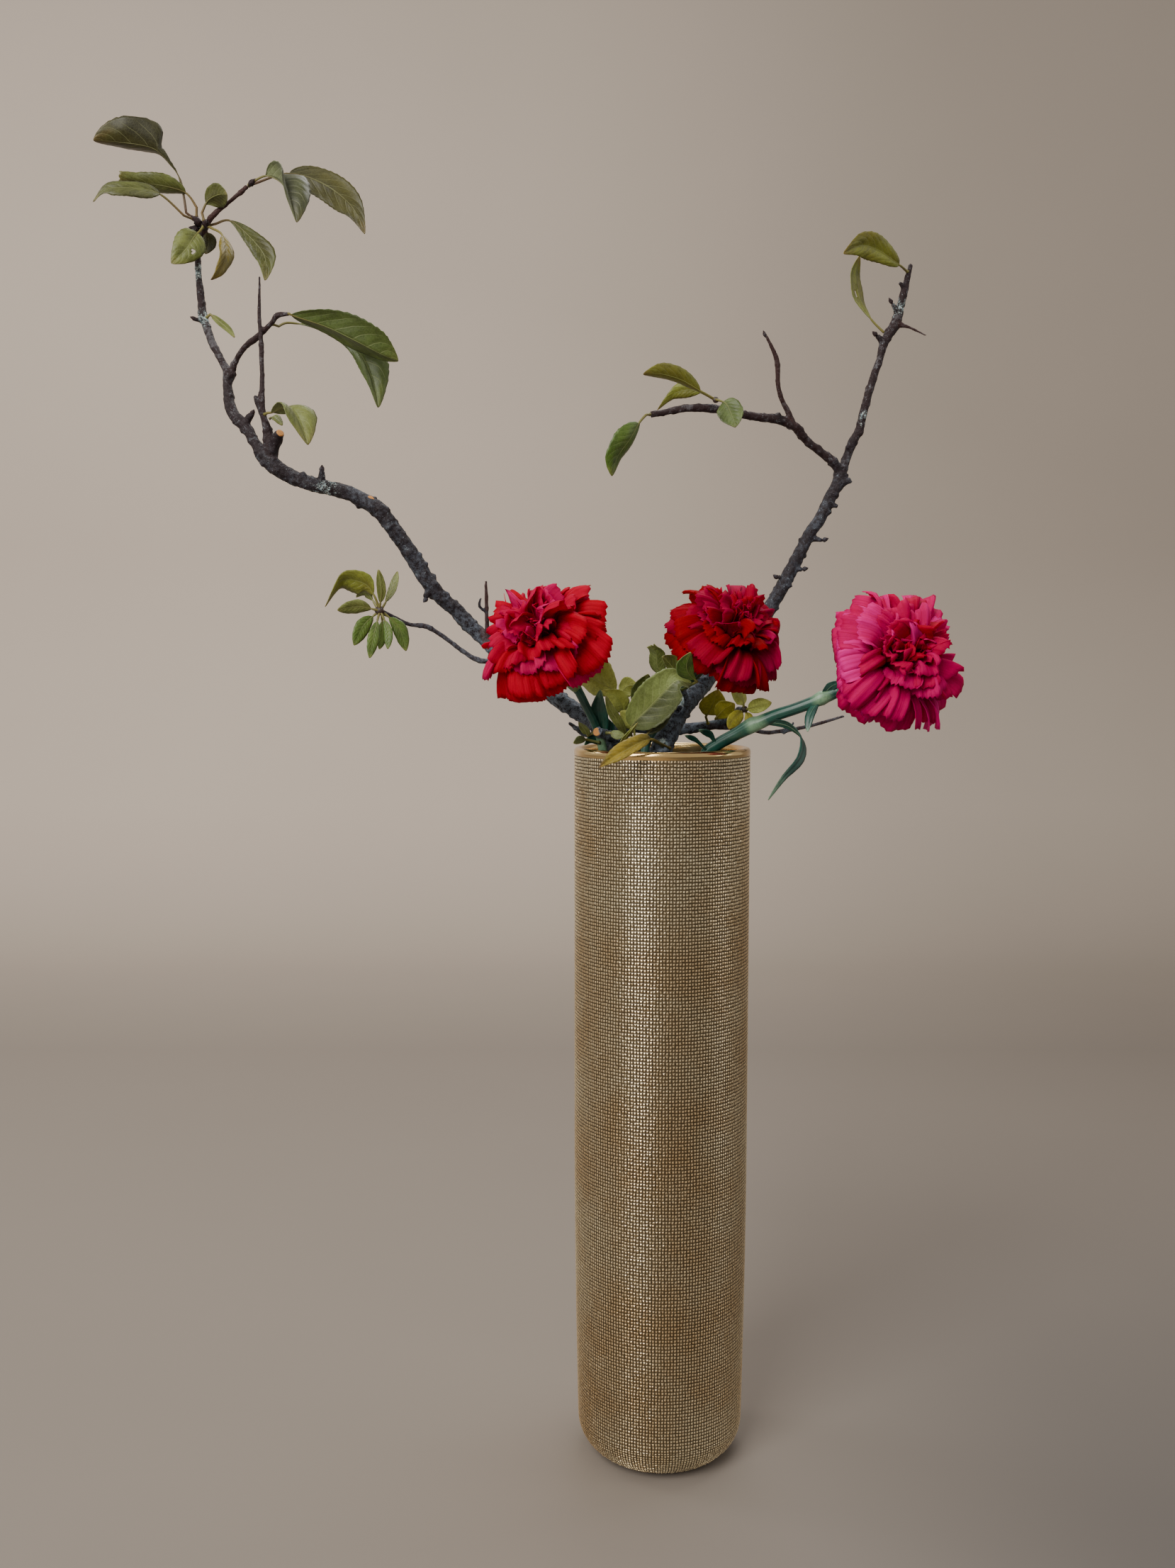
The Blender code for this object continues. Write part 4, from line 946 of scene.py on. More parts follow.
def makeBuds():
    # pointed winter buds and the dark scaly ones the leaves come from
    index = 0
    for node, buds in wood["buds"].items():
        made = []
        for foot, axis, length, width in buds:
            outline = [(0.0, -0.6)]
            for row in range(1, 9):
                share = row / 9
                outline.append((width / 2 * math.sin(math.pi * share ** 0.62) ** 0.85, length * share))
            outline.append((0.0, length))

            def scales(angle, row, radius, height):
                return radius * (1 + 0.1 * math.cos(3 * angle + row * 1.3 + index)), height

            made.append(addTurned(f"bud{index}", outline, foot, axis, 12, scales))
            index += 1
        piece = joinPieces(made, camelName(node) + "Buds")
        paint(piece, "marks", lambda point: (0.0, 0.25 + 0.2 * noise.noise(point / 3), 0.0))
        dress(piece, materials["bark"])
        finishPiece(piece, node)


# each look's main colour, the deep one in its shade and the one at its tip
leafTones = {
    "crownDark": ((80, 77, 24), (44, 42, 6), (108, 88, 44)),
    "crownOlive": ((94, 102, 40), (60, 60, 10), (126, 114, 60)),
    "bluish": ((90, 97, 56), (50, 55, 14), (104, 100, 50)),
    "light": ((122, 130, 66), (88, 96, 34), (132, 126, 62)),
    "fork": ((86, 104, 42), (50, 64, 10), (94, 100, 38)),
    "yellow": ((140, 120, 26), (94, 84, 8), (104, 62, 22)),
    "olive": ((124, 132, 38), (96, 90, 10), (140, 112, 48)),
    "fresh": ((86, 110, 32), (64, 92, 8), (120, 128, 54)),
    "pale": ((116, 130, 70), (84, 94, 32), (128, 128, 62)),
    # painted light: the next two looks are far lighter than the leaves' own colour, to lift the shade these
    # leaves sit in near the mouth
    "behind": ((222, 232, 128), (178, 184, 74), (214, 206, 110)),
    "shaded": ((204, 196, 70), (156, 148, 24), (196, 166, 76)),
    "dusk": ((58, 66, 24), (28, 36, 10), (66, 66, 22)),
    "stem": ((24, 88, 72), (8, 52, 46), (140, 172, 134)),
}
leafLooks = {name: {"main": tone(*main), "deep": tone(*deep), "tip": tone(*tip)}
             for name, (main, deep, tip) in leafTones.items()}
stalkTones = {"stem": tone(60, 120, 100), "crownDark": tone(96, 70, 52), "crownOlive": tone(128, 104, 66),
              "other": tone(124, 116, 58)}


leafUsual = {"stalk": 0.25, "widest": 0.45, "halves": (1.0, 1.0), "grow": 1.0, "torn": 0.0,
             "bites": (), "holes": ()}


def leafOf(look, route, sides, **special):
    # the route runs from the stalk to the tip; sides are how far the blade's two halves reach
    return {**leafUsual, "look": look, "route": route, "sides": sides, **special}


leafShapes = {
    "leaf_crown_bitten": leafOf("crownDark", [(-272, 14, 724), (-274, 12, 740), (-278, 8, 748),
        (-287, 4, 756), (-305, 0, 758), (-317, -6, 757)], ((1, -3, 14), (0, 9, 0)), widest=0.62,
        foot=(-269.5, 15.2, 722.3), bites=[(0, 0, 0.42, 0.3), (1, 0.1, 0.2, 0.3)]),
    "leaf_crown_torn": leafOf("crownOlive", [(-266, 14, 727), (-271, 11, 734), (-281, 6, 736),
        (-293, 3, 737), (-306, -2, 737)], ((0, -2, 6), (0, 6, -2)), foot=(-266.5, 15.3, 723.5), torn=0.7,
        holes=[(0.6, 0.4, 0.06)]),
    "leaf_crown_low": leafOf("crownOlive", [(-272, 9, 721), (-281, 2, 729), (-288, -3, 731),
        (-299, -10, 730), (-309, -13, 728), (-315, -16, 720)], ((0, 2, 4), (-1, -5, -6)),
        foot=(-268.8, 13.8, 720.7), torn=0.35),
    "leaf_crown_cup": leafOf("crownOlive", [(-263, 14, 724), (-259, 12, 730), (-252, 8, 732),
        (-246, 4, 731)], ((0, -2, 6), (2, 4, -5)), foot=(-262.5, 14.7, 721.2)),
    "leaf_crown_arched": leafOf("bluish", [(-233, 13, 741), (-225, 10, 743), (-216, 6, 738),
        (-211, 2, 729), (-206, -2, 714)], ((-6, -4, 16), (14, 5, 2)), foot=(-235, 14, 740),
        halves=(1.2, 0.6)),
    "leaf_crown_far": leafOf("crownDark", [(-233, 19, 742), (-215, 24, 749), (-196, 26, 744),
        (-180, 28, 732), (-172, 26, 716)], ((3, 3, 9), (-3, -4, -9)), foot=(-235.5, 16.5, 740.1)),
    "leaf_crown_front": leafOf("light", [(-264, 12, 713), (-266, 8, 709), (-270, 4, 701), (-277, 0, 692)],
        ((-6, -2, 5), (7, 3, -4)), stalk=0.15, foot=(-263, 13.7, 715.4), holes=[(0.55, 0.45, 0.05)]),
    "leaf_crown_back": leafOf("crownDark", [(-264, 26, 718), (-263, 28, 712), (-265, 28, 705)],
        ((-4, 0, 0), (4, 0, 0)), stalk=0.15, foot=(-264, 24.1, 718)),
    "leaf_crown_yellow": leafOf("yellow", [(-257, 13, 715), (-251, 9, 711), (-248, 6, 704),
        (-247, 2, 696), (-250, -2, 687), (-254, -4, 682)], ((-2.5, -5, -1), (3, 4, 1)),
        foot=(-259.4, 14.2, 716.4)),
    "leaf_crown_notched": leafOf("crownOlive", [(-257, 21, 720), (-249, 22, 722), (-238, 22, 713),
        (-229, 20, 701), (-228, 16, 687)], ((5, 2, 4), (-4, -4, -3)), widest=0.6,
        foot=(-260.1, 20.6, 719.1)),
    "leaf_slender": leafOf("light", [(-259, 12, 667), (-254, 10, 663), (-247, 6, 657), (-243, 2, 652)],
        ((1, -1, 1), (-1, -1, -1)), stalk=0.1, foot=(-260.4, 12.8, 666.2)),
    "leaf_fork_upper": leafOf("fork", [(-208, -20.2, 660), (-203, -19, 658), (-188, -14, 654),
        (-172, -10, 647), (-159, -6, 641), (-150, -2, 638)], ((3, -4, 12), (-1, 9, -3)), stalk=0.12,
        widest=0.58),
    "leaf_fork_lower": leafOf("fork", [(-216, -7, 656), (-210, -2, 659), (-191, 4, 656), (-175, 8, 646),
        (-167, 9, 631), (-163, 8, 614)], ((-3, -7, -2), (11, 3, 5)), widest=0.55,
        foot=(-217.9, -10.2, 656.1)),
    "leaf_upright_folded": leafOf("light", [(-220, -21, 606), (-216, -24, 606), (-208, -28, 608),
        (-202, -30, 602), (-196, -32, 587)], ((-5, -7, 2), (12, 5, -2)), stalk=0.2, widest=0.6,
        foot=(-221.3, -19.4, 605.8)),
    "leaf_upright_small": leafOf("light", [(-220.6, -14.6, 603.7), (-217, -15, 605), (-213, -16, 600)],
        ((-1, -2, -2), (1, 2, 1)), stalk=0.2),
    "leaf_right_drooping": leafOf("fresh", [(-11, -27, 604), (-15, -30, 599), (-20, -33, 590),
        (-27, -34, 580), (-30, -34, 570)], ((-8, -5, 2), (3, 6, 1)), foot=(-9.8, -25.4, 604.4)),
    "leaf_right_tip": leafOf("olive", [(143, 35, 698), (138, 28, 699), (124, 20, 705), (113, 14, 706),
        (102, 8, 700)], ((0, -4, 7), (0, 2, -7)), foot=(144, 36, 697.7)),
    "leaf_right_upright": leafOf("olive", [(131.2, 34.2, 661.8), (123, 34, 670), (116, 32, 681),
        (113, 30, 693), (115, 28, 704)], ((-4, -4, 0), (4, 4, -1)),
        holes=[(0.4, -0.3, 0.05), (0.5, 0.1, 0.035), (0.6, -0.4, 0.035)]),
    "leaf_mouth_behind": leafOf("behind", [(-21.8, -11.6, 444.8), (-27, -8, 452), (-36, -4, 457),
        (-44, 0, 462), (-48, 2, 468)], ((4, -3, 9), (-3, 5, -5)), grow=1.28),
    "leaf_mouth_olive": leafOf("behind", [(-21.9, -8, 446.9), (-24, -2, 450), (-20, 3, 455),
        (-14, 6, 455)], ((0, 2, 5), (1, -2, -6)), grow=1.15),
    "leaf_mouth_low": leafOf("behind", [(-23, -12, 440), (-24, -16, 445), (-28, -20, 450),
        (-35, -24, 453)], ((4, -2, 3), (-4, -3, -4)), stalk=0.1, foot=(-22.1, -10.7, 441.3)),
    "leaf_mouth_slender": leafOf("light", [(-20.5, -16.8, 425.5), (-25, -26, 434), (-30, -30, 442),
        (-33, -34, 450)], ((-2, -1, -1), (2, -1, 1)), stalk=0.1),
    "leaf_mouth_inner": leafOf("behind", [(-16.5, -15.1, 425.5), (-17, -17, 432), (-20, -19, 437),
        (-25, -22, 441)], ((1, -2, 5), (-1, -1, -5)), grow=1.15),
    "leaf_mouth_large": leafOf("pale", [(-17, -21, 424), (-19, -29, 430), (-17, -34, 436), (-9, -38, 444),
        (-1, -42, 453), (6, -44, 459), (14, -43, 456)], ((-8, -2, 8), (7, -6, -8)),
        foot=(-17.7, -18.8, 423.8), halves=(1.12, 0.42), torn=0.5),
    "leaf_mouth_tall": leafOf("pale", [(1, -26, 460), (-4, -28, 466), (-5, -32, 473), (-9, -36, 478)],
        ((-4, 2, 0), (4, -2, 2)), stalk=0.1, foot=(5.9, -30.4, 454.2), torn=0.5),
    "leaf_mouth_dark": leafOf("light", [(8.1, -28.2, 455.8), (7, -30, 461), (3, -32, 467),
        (-2, -36, 472)], ((-2, 0, -2), (5, 3, 4)), stalk=0.1),
    "leaf_mouth_bright": leafOf("fresh", [(16.5, -45, 458.2), (12, -50, 462), (10, -54, 467),
        (12, -57, 474)], ((-6, -3, 1), (4, 3, 0)), stalk=0.1, foot=(9.9, -32.9, 454)),
    "leaf_mouth_pale": leafOf("pale", [(-18.4, -10.6, 445.6), (-14, -14, 450), (-11, -16, 456),
        (-9, -20, 462)], ((-5, -2, 2), (4, 3, -2)), stalk=0.1),
    "leaf_rim_yellow": leafOf("yellow", [(-3, -36, 424), (-8, -50, 427), (-14, -56, 426), (-24, -61, 421),
        (-31, -64, 417), (-37, -67, 413)], ((1, 1, 6), (-1, -4, -4)), foot=(2.5, -24, 421)),
    "leaf_rim_upright": leafOf("olive", [(-25, -42, 424), (-23, -46, 427), (-20, -48, 431),
        (-16, -48, 436)], ((-3, 0, -2), (4, 1, 3)), stalk=0.1, foot=(-19.7, -17.5, 421.3)),
    "leaf_bough_dark": leafOf("dusk", [(-11, -35, 428), (-6, -35, 434), (-1, -34, 440), (7, -31, 448)],
        ((-2, -1, 2), (3, -1, -3)), stalk=0.1, foot=(-2, -24.4, 422.5)),
    "leaf_mouth_hidden": leafOf("shaded", [(26, 11, 437), (28, 7, 441), (30, 3, 446), (32, 0, 453)],
        ((-6, 0, 0), (8, -3, 2)), stalk=0.1, foot=(27.6, 17.1, 433.5), grow=1.25),
    "leaf_mouth_right": leafOf("shaded", [(31, 4, 436), (34, 0, 440), (37, -3, 443), (41, -7, 445)],
        ((-3, -2, 4), (3, 2, -5)), stalk=0.1, foot=(38.3, 8.6, 436.9)),
    "leaf_pale_left": leafOf("pale", [(-43, -13, 427), (-45, -16, 431), (-48, -20, 435)],
        ((-3, -1, 1), (3, 0, -1)), stalk=0.1, foot=(-41.1, -12.5, 428)),
    "leaf_rim_sliver": leafOf("pale", [(-44, -15, 425), (-48, -22, 425), (-51, -30, 424)],
        ((0, 0, 2), (0, 0, -1.5)), stalk=0.1, foot=(-37.8, -12.2, 423.5)),
    "leaf_rim_pale": leafOf("pale", [(-31, -39, 430), (-27, -40, 429), (-23, -40, 429)],
        ((0, 0, 2), (0, -1, -2)), stalk=0.1, foot=(-32.4, -24.6, 429.2)),
}
# where each spray starts, and its bud's radius
sprayBuds = {"spray_left": ((-158, -31, 497), 2.6), "spray_arm": ((28, -16, 614), 1.8),
             "spray_mouth": ((46.5, -9.5, 442), 1.9)}
sprayShapes = {
    "spray_left": [
        leafOf("olive", [(-158, -31, 498), (-161, -33, 506), (-166, -34, 512), (-178, -36, 513),
            (-186, -42, 499)], ((2, -3, 5), (-2, 4, -6))),
        leafOf("light", [(-159, -31, 498), (-166, -27, 508), (-172, -24, 505)],
            ((1, -2, 3), (-1, 2, -3))),
        leafOf("light", [(-158, -32, 497), (-168, -38, 499), (-179, -44, 497)],
            ((0, -1, 3.5), (0, 2, -3))),
        leafOf("fresh", [(-158, -31, 497), (-166, -36, 489), (-171, -40, 478)], ((-2, -1, 2), (2, 1, -2)),
            grow=1.3),
        leafOf("fresh", [(-158, -32, 496), (-160, -39, 484), (-162, -43, 471)], ((-2, -1, 0), (2, 1, 0)),
            grow=1.3),
        leafOf("fresh", [(-157, -30, 496), (-157, -28, 485), (-159, -26, 476)],
            ((-1.5, 0, 0), (1.5, 0, 0)), grow=1.5),
        leafOf("fresh", [(-157, -32, 496), (-153, -34, 486), (-153, -36, 476)],
            ((-1.5, 0, 0), (1.5, 0, 0)), grow=1.3),
        leafOf("fresh", [(-157, -31, 497), (-148, -28, 488), (-144, -28, 475)], ((-2, -1, -1), (2, 1, 1)),
            grow=1.5),
        leafOf("light", [(-158, -32, 498), (-156, -37, 507), (-157, -40, 519)], ((-2, 0, 0), (2, 1, 0))),
        leafOf("light", [(-157, -30, 498), (-152, -26, 508), (-149, -23, 519)], ((-2, 0, 0), (2, -1, 0))),
    ],
    "spray_arm": [
        leafOf("olive", [(28, -16, 614), (19, -21, 618), (8, -26, 623), (-4, -32, 625), (-13, -36, 624)],
            ((0, -2, 6), (0, 5, -1))),
        leafOf("olive", [(28, -15, 614), (17, -11, 620), (6, -8, 619), (-4, -8, 610)],
            ((2, -1, 5), (-2, 2, -4))),
        leafOf("fork", [(28, -17, 614), (33, -22, 611), (36, -26, 604), (38, -29, 597)],
            ((5, 1, 6), (-6, -2, -4))),
    ],
    "spray_mouth": [
        leafOf("shaded", [(46, -9, 442), (43, -10, 439), (39, -12, 435), (37, -13, 431)],
            ((-3, -2, 2), (4, 2, -2)), stalk=0.15),
        leafOf("behind", [(46, -10, 443), (45, -12, 447), (42, -14, 450), (38, -18, 454)],
            ((-3, -2, -2), (3, 2, 2)), stalk=0.15),
        leafOf("behind", [(47, -10, 442), (50, -15, 443), (55, -19, 445), (60, -23, 446)],
            ((0, -2, 4), (0, 2, -4)), stalk=0.15),
        leafOf("shaded", [(47, -9, 441), (49, -9, 437), (47, -10, 431)], ((-2, 0, 0), (2, 0, 0)),
            stalk=0.15),
    ],
}


leafDetail = {"arch": 0.12, "wave": 0.07, "tooth": 0.065, "toothRate": 1.37, "pucker": 0.035,
              "sideVeins": 8, "sweep": 2.2, "taper": 0.4, "taperFrom": 0.68, "thickness": 0.34,
              "stalkWidth": 1.5, "ribWidth": 0.9, "strapRib": 0.6, "faces": (0.0, -1.0, 0.5),
              "budSide": (0.1, -0.3, 1), "budTone": tone(58, 44, 36)}


def widthShare(t, leaf):
    power = math.log(0.5) / math.log(leaf["widest"])
    shape = max(math.sin(math.pi * min(max(t, 0.0), 1.0) ** power), 0.0) ** 0.8
    if leaf["torn"]:
        return max(shape, leaf["torn"]) if t > leaf["widest"] else shape
    return shape * (1 - leafDetail["taper"] * min(max((t - leafDetail["taperFrom"]) / 0.3, 0.0), 1.0) ** 1.5)


def biteShare(leaf, side, t, seed):
    left = 1.0
    for biteSide, start, end, kept in leaf["bites"]:
        if biteSide == side:
            middle, half = (start + end) / 2, (end - start) / 2
            inside = 1 - ((t - middle) / (half * 1.12)) ** 4
            ragged = 0.12 * noise.noise(Vector((t * 26, seed, side * 3)))
            if inside > 0:
                left = min(left, 1 - (1 - kept) * min(inside * 2.2, 1.0) + ragged)
    return min(max(left, 0.08), 1.0)


def makeHoles(piece, holes):
    # small holes that insects have eaten: (share along, share across, size)
    if not holes:
        return
    spots = piece.data.uv_layers.active.data

    def eaten(face):
        middle = sum((spots[loop].uv for loop in face.loop_indices), Vector((0, 0))) / face.loop_total
        return any(math.hypot(middle.y - along, (middle.x * 2 - 1 - across) * 0.4) < size
                   for along, across, size in holes)

    openFaces(piece, eaten)
    bpy.ops.mesh.delete(type="FACE")
    closeFaces()


def leafTint(leaf, look, u, t, seed):
    shade = 0.5 + 0.9 * noise.noise(Vector((u * 0.9 + seed, t * 2.2, 3.3)))
    colour = mixed(look["deep"], look["main"], shade)
    colour = mixed(colour, look["tip"], (t - 0.8) * 4 + 0.5 * noise.noise(Vector((u * 3, t * 6, seed))))
    # painted light and shade: one half of the blade is lightened or darkened, as if it faced toward or away
    # from the light
    half = leaf["halves"][0 if u < 0 else 1] if u else 1.0
    return tuple(part * half for part in colour)


def makeBlade(name, leaf, seed):
    look = leafLooks[leaf["look"]]
    detail = leafDetail
    phase = random.Random(seed).uniform(0, 6)
    route = [Vector(point) for point in leaf["route"]]
    length = sum((b - a).length for a, b in zip(route, route[1:]))
    sideA, sideB = (Vector(side) * leaf["grow"] for side in leaf["sides"])
    endA, endB = (Vector(side) for side in leaf.get("endSides", (sideA, sideB)))
    flat = (sideB - sideA).normalized()
    rows = int(min(max(length * (1 - leaf["stalk"]) / 1.1, 12), 56))
    columns = 2 * int(min(max((sideA.length + sideB.length) / 2.2, 4), 9))
    teeth = rows // 2
    piece = addSheet(name, columns, rows)
    tints = []
    hint = Vector(detail["faces"])
    middleNormal = (curvePoint(route, 0.6) - curvePoint(route, 0.55)).cross(flat).normalized()
    upward = 1 if middleNormal.dot(hint) > 0 else -1

    def place(column, row):
        u = 2 * column / columns - 1
        t = row / rows
        if leaf["torn"]:
            t *= 1 - 0.1 * (0.5 + noise.noise(Vector((u * 3, seed, 1)))) * (t > 0.5) * t
        share = leaf["stalk"] + (1 - leaf["stalk"]) * t
        middle = curvePoint(route, share)
        tangent = (curvePoint(route, share + 0.02) - curvePoint(route, share - 0.02)).normalized()
        width = widthShare(t, leaf)
        side = (sideA.lerp(endA, t) if u < 0 else sideB.lerp(endB, t))
        outward = -flat if u < 0 else flat
        reach = side - tangent * side.dot(tangent)
        amount = abs(u)
        strip = 0.7 - 0.35 * share    # the least width, along the midrib
        normal = tangent.cross(flat).normalized()
        size = reach.length * width
        saw = (t * teeth * detail["toothRate"] + phase) % 1.0
        tooth = 1 + detail["tooth"] * (saw - 0.6) * amount ** 4
        kept = biteShare(leaf, 0 if u < 0 else 1, t, seed)
        spread = reach * width * kept * tooth
        lift = detail["arch"] * math.sin(math.pi * amount)
        lift += detail["wave"] * amount ** 2 * math.sin(t * 13 + phase + 2.1 * (u > 0))
        veins = (t * detail["sideVeins"] - amount ** 1.25 * detail["sweep"] + 0.2 * (u > 0)) % 1.0
        veins = abs(veins - 0.5) * 2
        lift += upward * detail["pucker"] * (1 - veins ** 2) * math.sin(math.pi * min(amount * 1.1, 1))
        lift += 0.03 * noise.noise(middle / 9 + Vector((u * 1.5, seed, 0)))
        tints.append(leafTint(leaf, look, u, t, seed))
        point = middle + (spread + outward * strip * kept) * amount + normal * size * lift
        return Vector(min(max(value, least / mm + 0.2), most / mm - 0.2)
                      for value, least, most in zip(point, cadLow, cadHigh))

    shapeSheet(piece, columns, rows, place)
    storeColours(piece, "tint", tints)
    dress(piece, materials["upper"], materials["under"])
    mergeSeams(piece, outward=False)
    makeHoles(piece, leaf["holes"])
    faceNormal = sum((face.normal * face.area for face in piece.data.polygons), Vector())
    if faceNormal.dot(hint) < 0:
        openFaces(piece, lambda face: True)
        bpy.ops.mesh.flip_normals()
        closeFaces()
    applyModifier(piece, "SOLIDIFY", thickness=detail["thickness"] * mm, offset=0.0,
                  material_offset=1, material_offset_rim=1)
    piece.data.shade_smooth()
    return joinPieces([piece, makeStalk(name + "Stalk", leaf, route, look)], name)


def makeStalk(name, leaf, route, look):
    stations = []
    thick = leafDetail["stalkWidth"] / 2
    if "foot" in leaf:
        foot = Vector(leaf["foot"])
        into = (foot - route[0]).normalized()
        stations += [(foot + into * 1.6, thick * 1.5), (foot + into * 0.6, thick * 1.25), (foot, thick)]
        steps = max(int((route[0] - foot).length / 1.5), 1)
        stations += [(foot.lerp(route[0], step / steps), thick) for step in range(1, steps)]
    count = max(int(len(route) * 5), 14)
    for index in range(count + 1):
        share = index / count * 0.97
        size = thick if share < leaf["stalk"] else leafDetail["ribWidth"] / 2
        if leaf["look"] == "stem":
            size = leafDetail["strapRib"] / 2
        stations.append((curvePoint(route, share), size * (1 - 0.65 * share)))
    rib = addTube(name, stations, 8)
    fade = leaf["stalk"] + 0.25
    length = (route[-1] - route[0]).length
    stalkTone = stalkTones.get(leaf["look"], stalkTones["other"])
    vein = mixed(look["main"], (0.3, 0.32, 0.14), 0.3)
    paint(rib, "tint", lambda point: mixed(stalkTone, vein, (point - route[0]).length / length / fade))
    dress(rib, materials["stalk"])
    rib.data.shade_smooth()
    return rib


def makeLeaves():
    for number, (node, leaf) in enumerate(leafShapes.items()):
        piece = makeBlade(camelName(node), leaf, number)
        finishPiece(piece, node)
    for number, (node, leaves) in enumerate(sprayShapes.items()):
        blades = [makeBlade(f"{node}{index}", leaf, 100 + number * 20 + index)
                  for index, leaf in enumerate(leaves)]
        centre, radius = sprayBuds[node]
        outline = [(radius * math.sin(math.pi * step / 8), -radius * math.cos(math.pi * step / 8))
                   for step in range(9)]

        def scales(angle, row, size, height):
            return size * (1 + 0.14 * math.cos(3 * angle + row)), height

        bud = addTurned(node + "Bud", outline, centre, leafDetail["budSide"], 14, scales)
        paint(bud, "tint", lambda point: leafDetail["budTone"])
        dress(bud, materials["stalk"])
        finishPiece(joinPieces(blades + [bud], camelName(node)), node)


carnationShapes = {
    "red": {
        "stem": [(-6, -6, 70, 5.6), (-32, -7, 405, 5.8), (-35, -8, 422, 6.6), (-36, -9, 425, 5.8),
            (-39, -14, 434, 5.8), (-44, -18, 444, 5.8), (-48, -20, 452, 6)],
        "straps": [
            leafOf("stem", [(-35, -8, 423), (-36, -12, 434), (-37, -15, 443), (-36, -17, 453)],
                ((-3, -1, 0), (3, -1, 0)), stalk=0.05, grow=1.5),
            leafOf("stem", [(-35, -8, 423), (-30, -7, 430), (-32, -10, 437)], ((-2, -1, 0), (2, 0, 0)),
                stalk=0.05),
            leafOf("stem", [(-35, -8, 422), (-41, -10, 425), (-45, -13, 422)], ((0, -1, 2), (0, 1, -2)),
                stalk=0.05),
        ],
        "radius": 36, "axis": (-0.5, -0.4, 0.77), "seed": 1,
    },
    "crimson": {
        "stem": [(-8, -36, 90, 5.4), (-11, -28, 420, 5.6), (-5, -25, 433, 5.6), (3, -21, 446, 5.6),
            (10, -16, 454, 5.8), (14, -14, 458, 6)],
        "straps": [
            leafOf("stem", [(14, -15.6, 458.4), (11, -13, 466), (9, -12, 472)], ((-2, 0, 0), (2, 0, 0)),
                stalk=0.05),
        ],
        "radius": 32.5, "axis": (0.5, -0.25, 0.8), "seed": 2,
    },
    "magenta": {
        "stem": [(14, -6, 75, 5.8), (24, -14, 416, 6), (30, -16, 422, 6.2), (40, -20, 428, 6.4),
            (50, -24, 434, 8), (53, -25, 435, 7), (61, -28, 439, 6), (72, -32, 443, 5.8),
            (82, -35, 447, 6), (86, -36, 449, 7.4), (89, -36, 450, 6), (95, -36, 453, 6)],
        "straps": [
            leafOf("stem", [(51, -24, 434), (60, -28, 435), (69, -34, 433), (75, -40, 426),
                (73, -46, 416), (63, -53, 406), (54, -60, 395)], ((0, -2, 2.5), (0, 2, -2)), stalk=0.03,
                endSides=((-3.4, -1, 1.4), (3.4, 1, -1.4))),
            leafOf("stem", [(30, -16, 421), (26, -22, 428), (19, -28, 431)], ((0, -2, 2), (0, 2, -2)),
                stalk=0.05),
            leafOf("stem", [(26, -15, 417), (18, -24, 425), (11, -30, 428)], ((-1, -2, 2), (1, 2, -2)),
                stalk=0.05),
            leafOf("stem", [(84, -36, 447), (79, -41, 440), (77, -45, 431)], ((-2, 1, 0), (2, -1, 0)),
                stalk=0.05),
            leafOf("stem", [(86, -36, 449), (90, -39, 455), (96, -42, 458)], ((-1, -1, 2), (1, 1, -2)),
                stalk=0.05),
        ],
        "radius": 38.5, "axis": (0.78, -0.42, 0.45), "seed": 3,
    },
}
# each ring: petals, lean in degrees, reach and half width as shares of the radius, how crumpled
bloomRings = [(6, 6, 0.68, 0.20, 1.9), (9, 19, 0.78, 0.23, 1.7), (10, 35, 0.87, 0.27, 1.4),
              (10, 54, 0.92, 0.31, 1.15), (10, 72, 0.97, 0.35, 0.95), (10, 88, 1.0, 0.38, 0.85),
              (9, 104, 0.98, 0.4, 0.8)]
bloomLooks = {
    "red": {"edge": (0.42, 0.0, 0.016), "heart": (0.24, 0.0, 0.004), "inner": (0.46, 0.0, 0.05),
            "flash": (0.6, 0.01, 0.15), "shift": (2, 0, -3), "face": (0, 0, 0), "grow": 1.0,
            "room": (3, 5, 8, 1)},
    "crimson": {"edge": (0.235, 0.0, 0.004), "heart": (0.13, 0.0, 0.002), "inner": (0.3, 0.0, 0.025),
                "flash": (0.42, 0.004, 0.085), "shift": (1, 0, -8), "face": (0, -0.25, -0.1),
                "grow": 1.06, "room": (3, 4, 14, 0)},
    "magenta": {"edge": (0.52, 0.0, 0.1), "heart": (0.3, 0.0, 0.018), "inner": (0.38, 0.0, 0.024),
                "flash": (0.92, 0.02, 0.33), "shift": (-4, 0, -2), "face": (-0.35, -0.5, 0),
                "grow": 1.0, "room": (8, 0, 4, 0)},
}


petalDetail = {
    "columns": 20, "rows": 13, "thickness": 0.28, "centre": 0.42, "fan": 0.9, "roundEdge": 0.16,
    "tooth": 2.2, "turn": 0.2, "lean": 13, "length": (0.84, 1.05), "width": (0.72, 1.15), "twist": 0.7,
    "waves": ((2.2, 4.2, 0.08), (6, 9, 0.055), (13, 17, 0.022)), "curl": (-0.02, 0.13),
    "bright": 0.35, "flash": (-1.3, 1.0), "notch": (0.25, 1.0), "cup": 0.05, "edgeFrom": 0.86,
    "softRoom": 5.0, "deepRoom": 3, "footRise": 9, "baseRise": 16.9, "baseShare": 0.08,
    "neck": 0.34, "neckSpread": 0.05,
}


def softLimit(value, least, most):
    # keeps a petal inside its box without pressing it flat
    room = petalDetail["softRoom"]
    if value > most - room:
        return most - room * math.exp(-(value - most + room) / room)
    if value < least + room:
        return least + room * math.exp((value - least - room) / room)
    return value


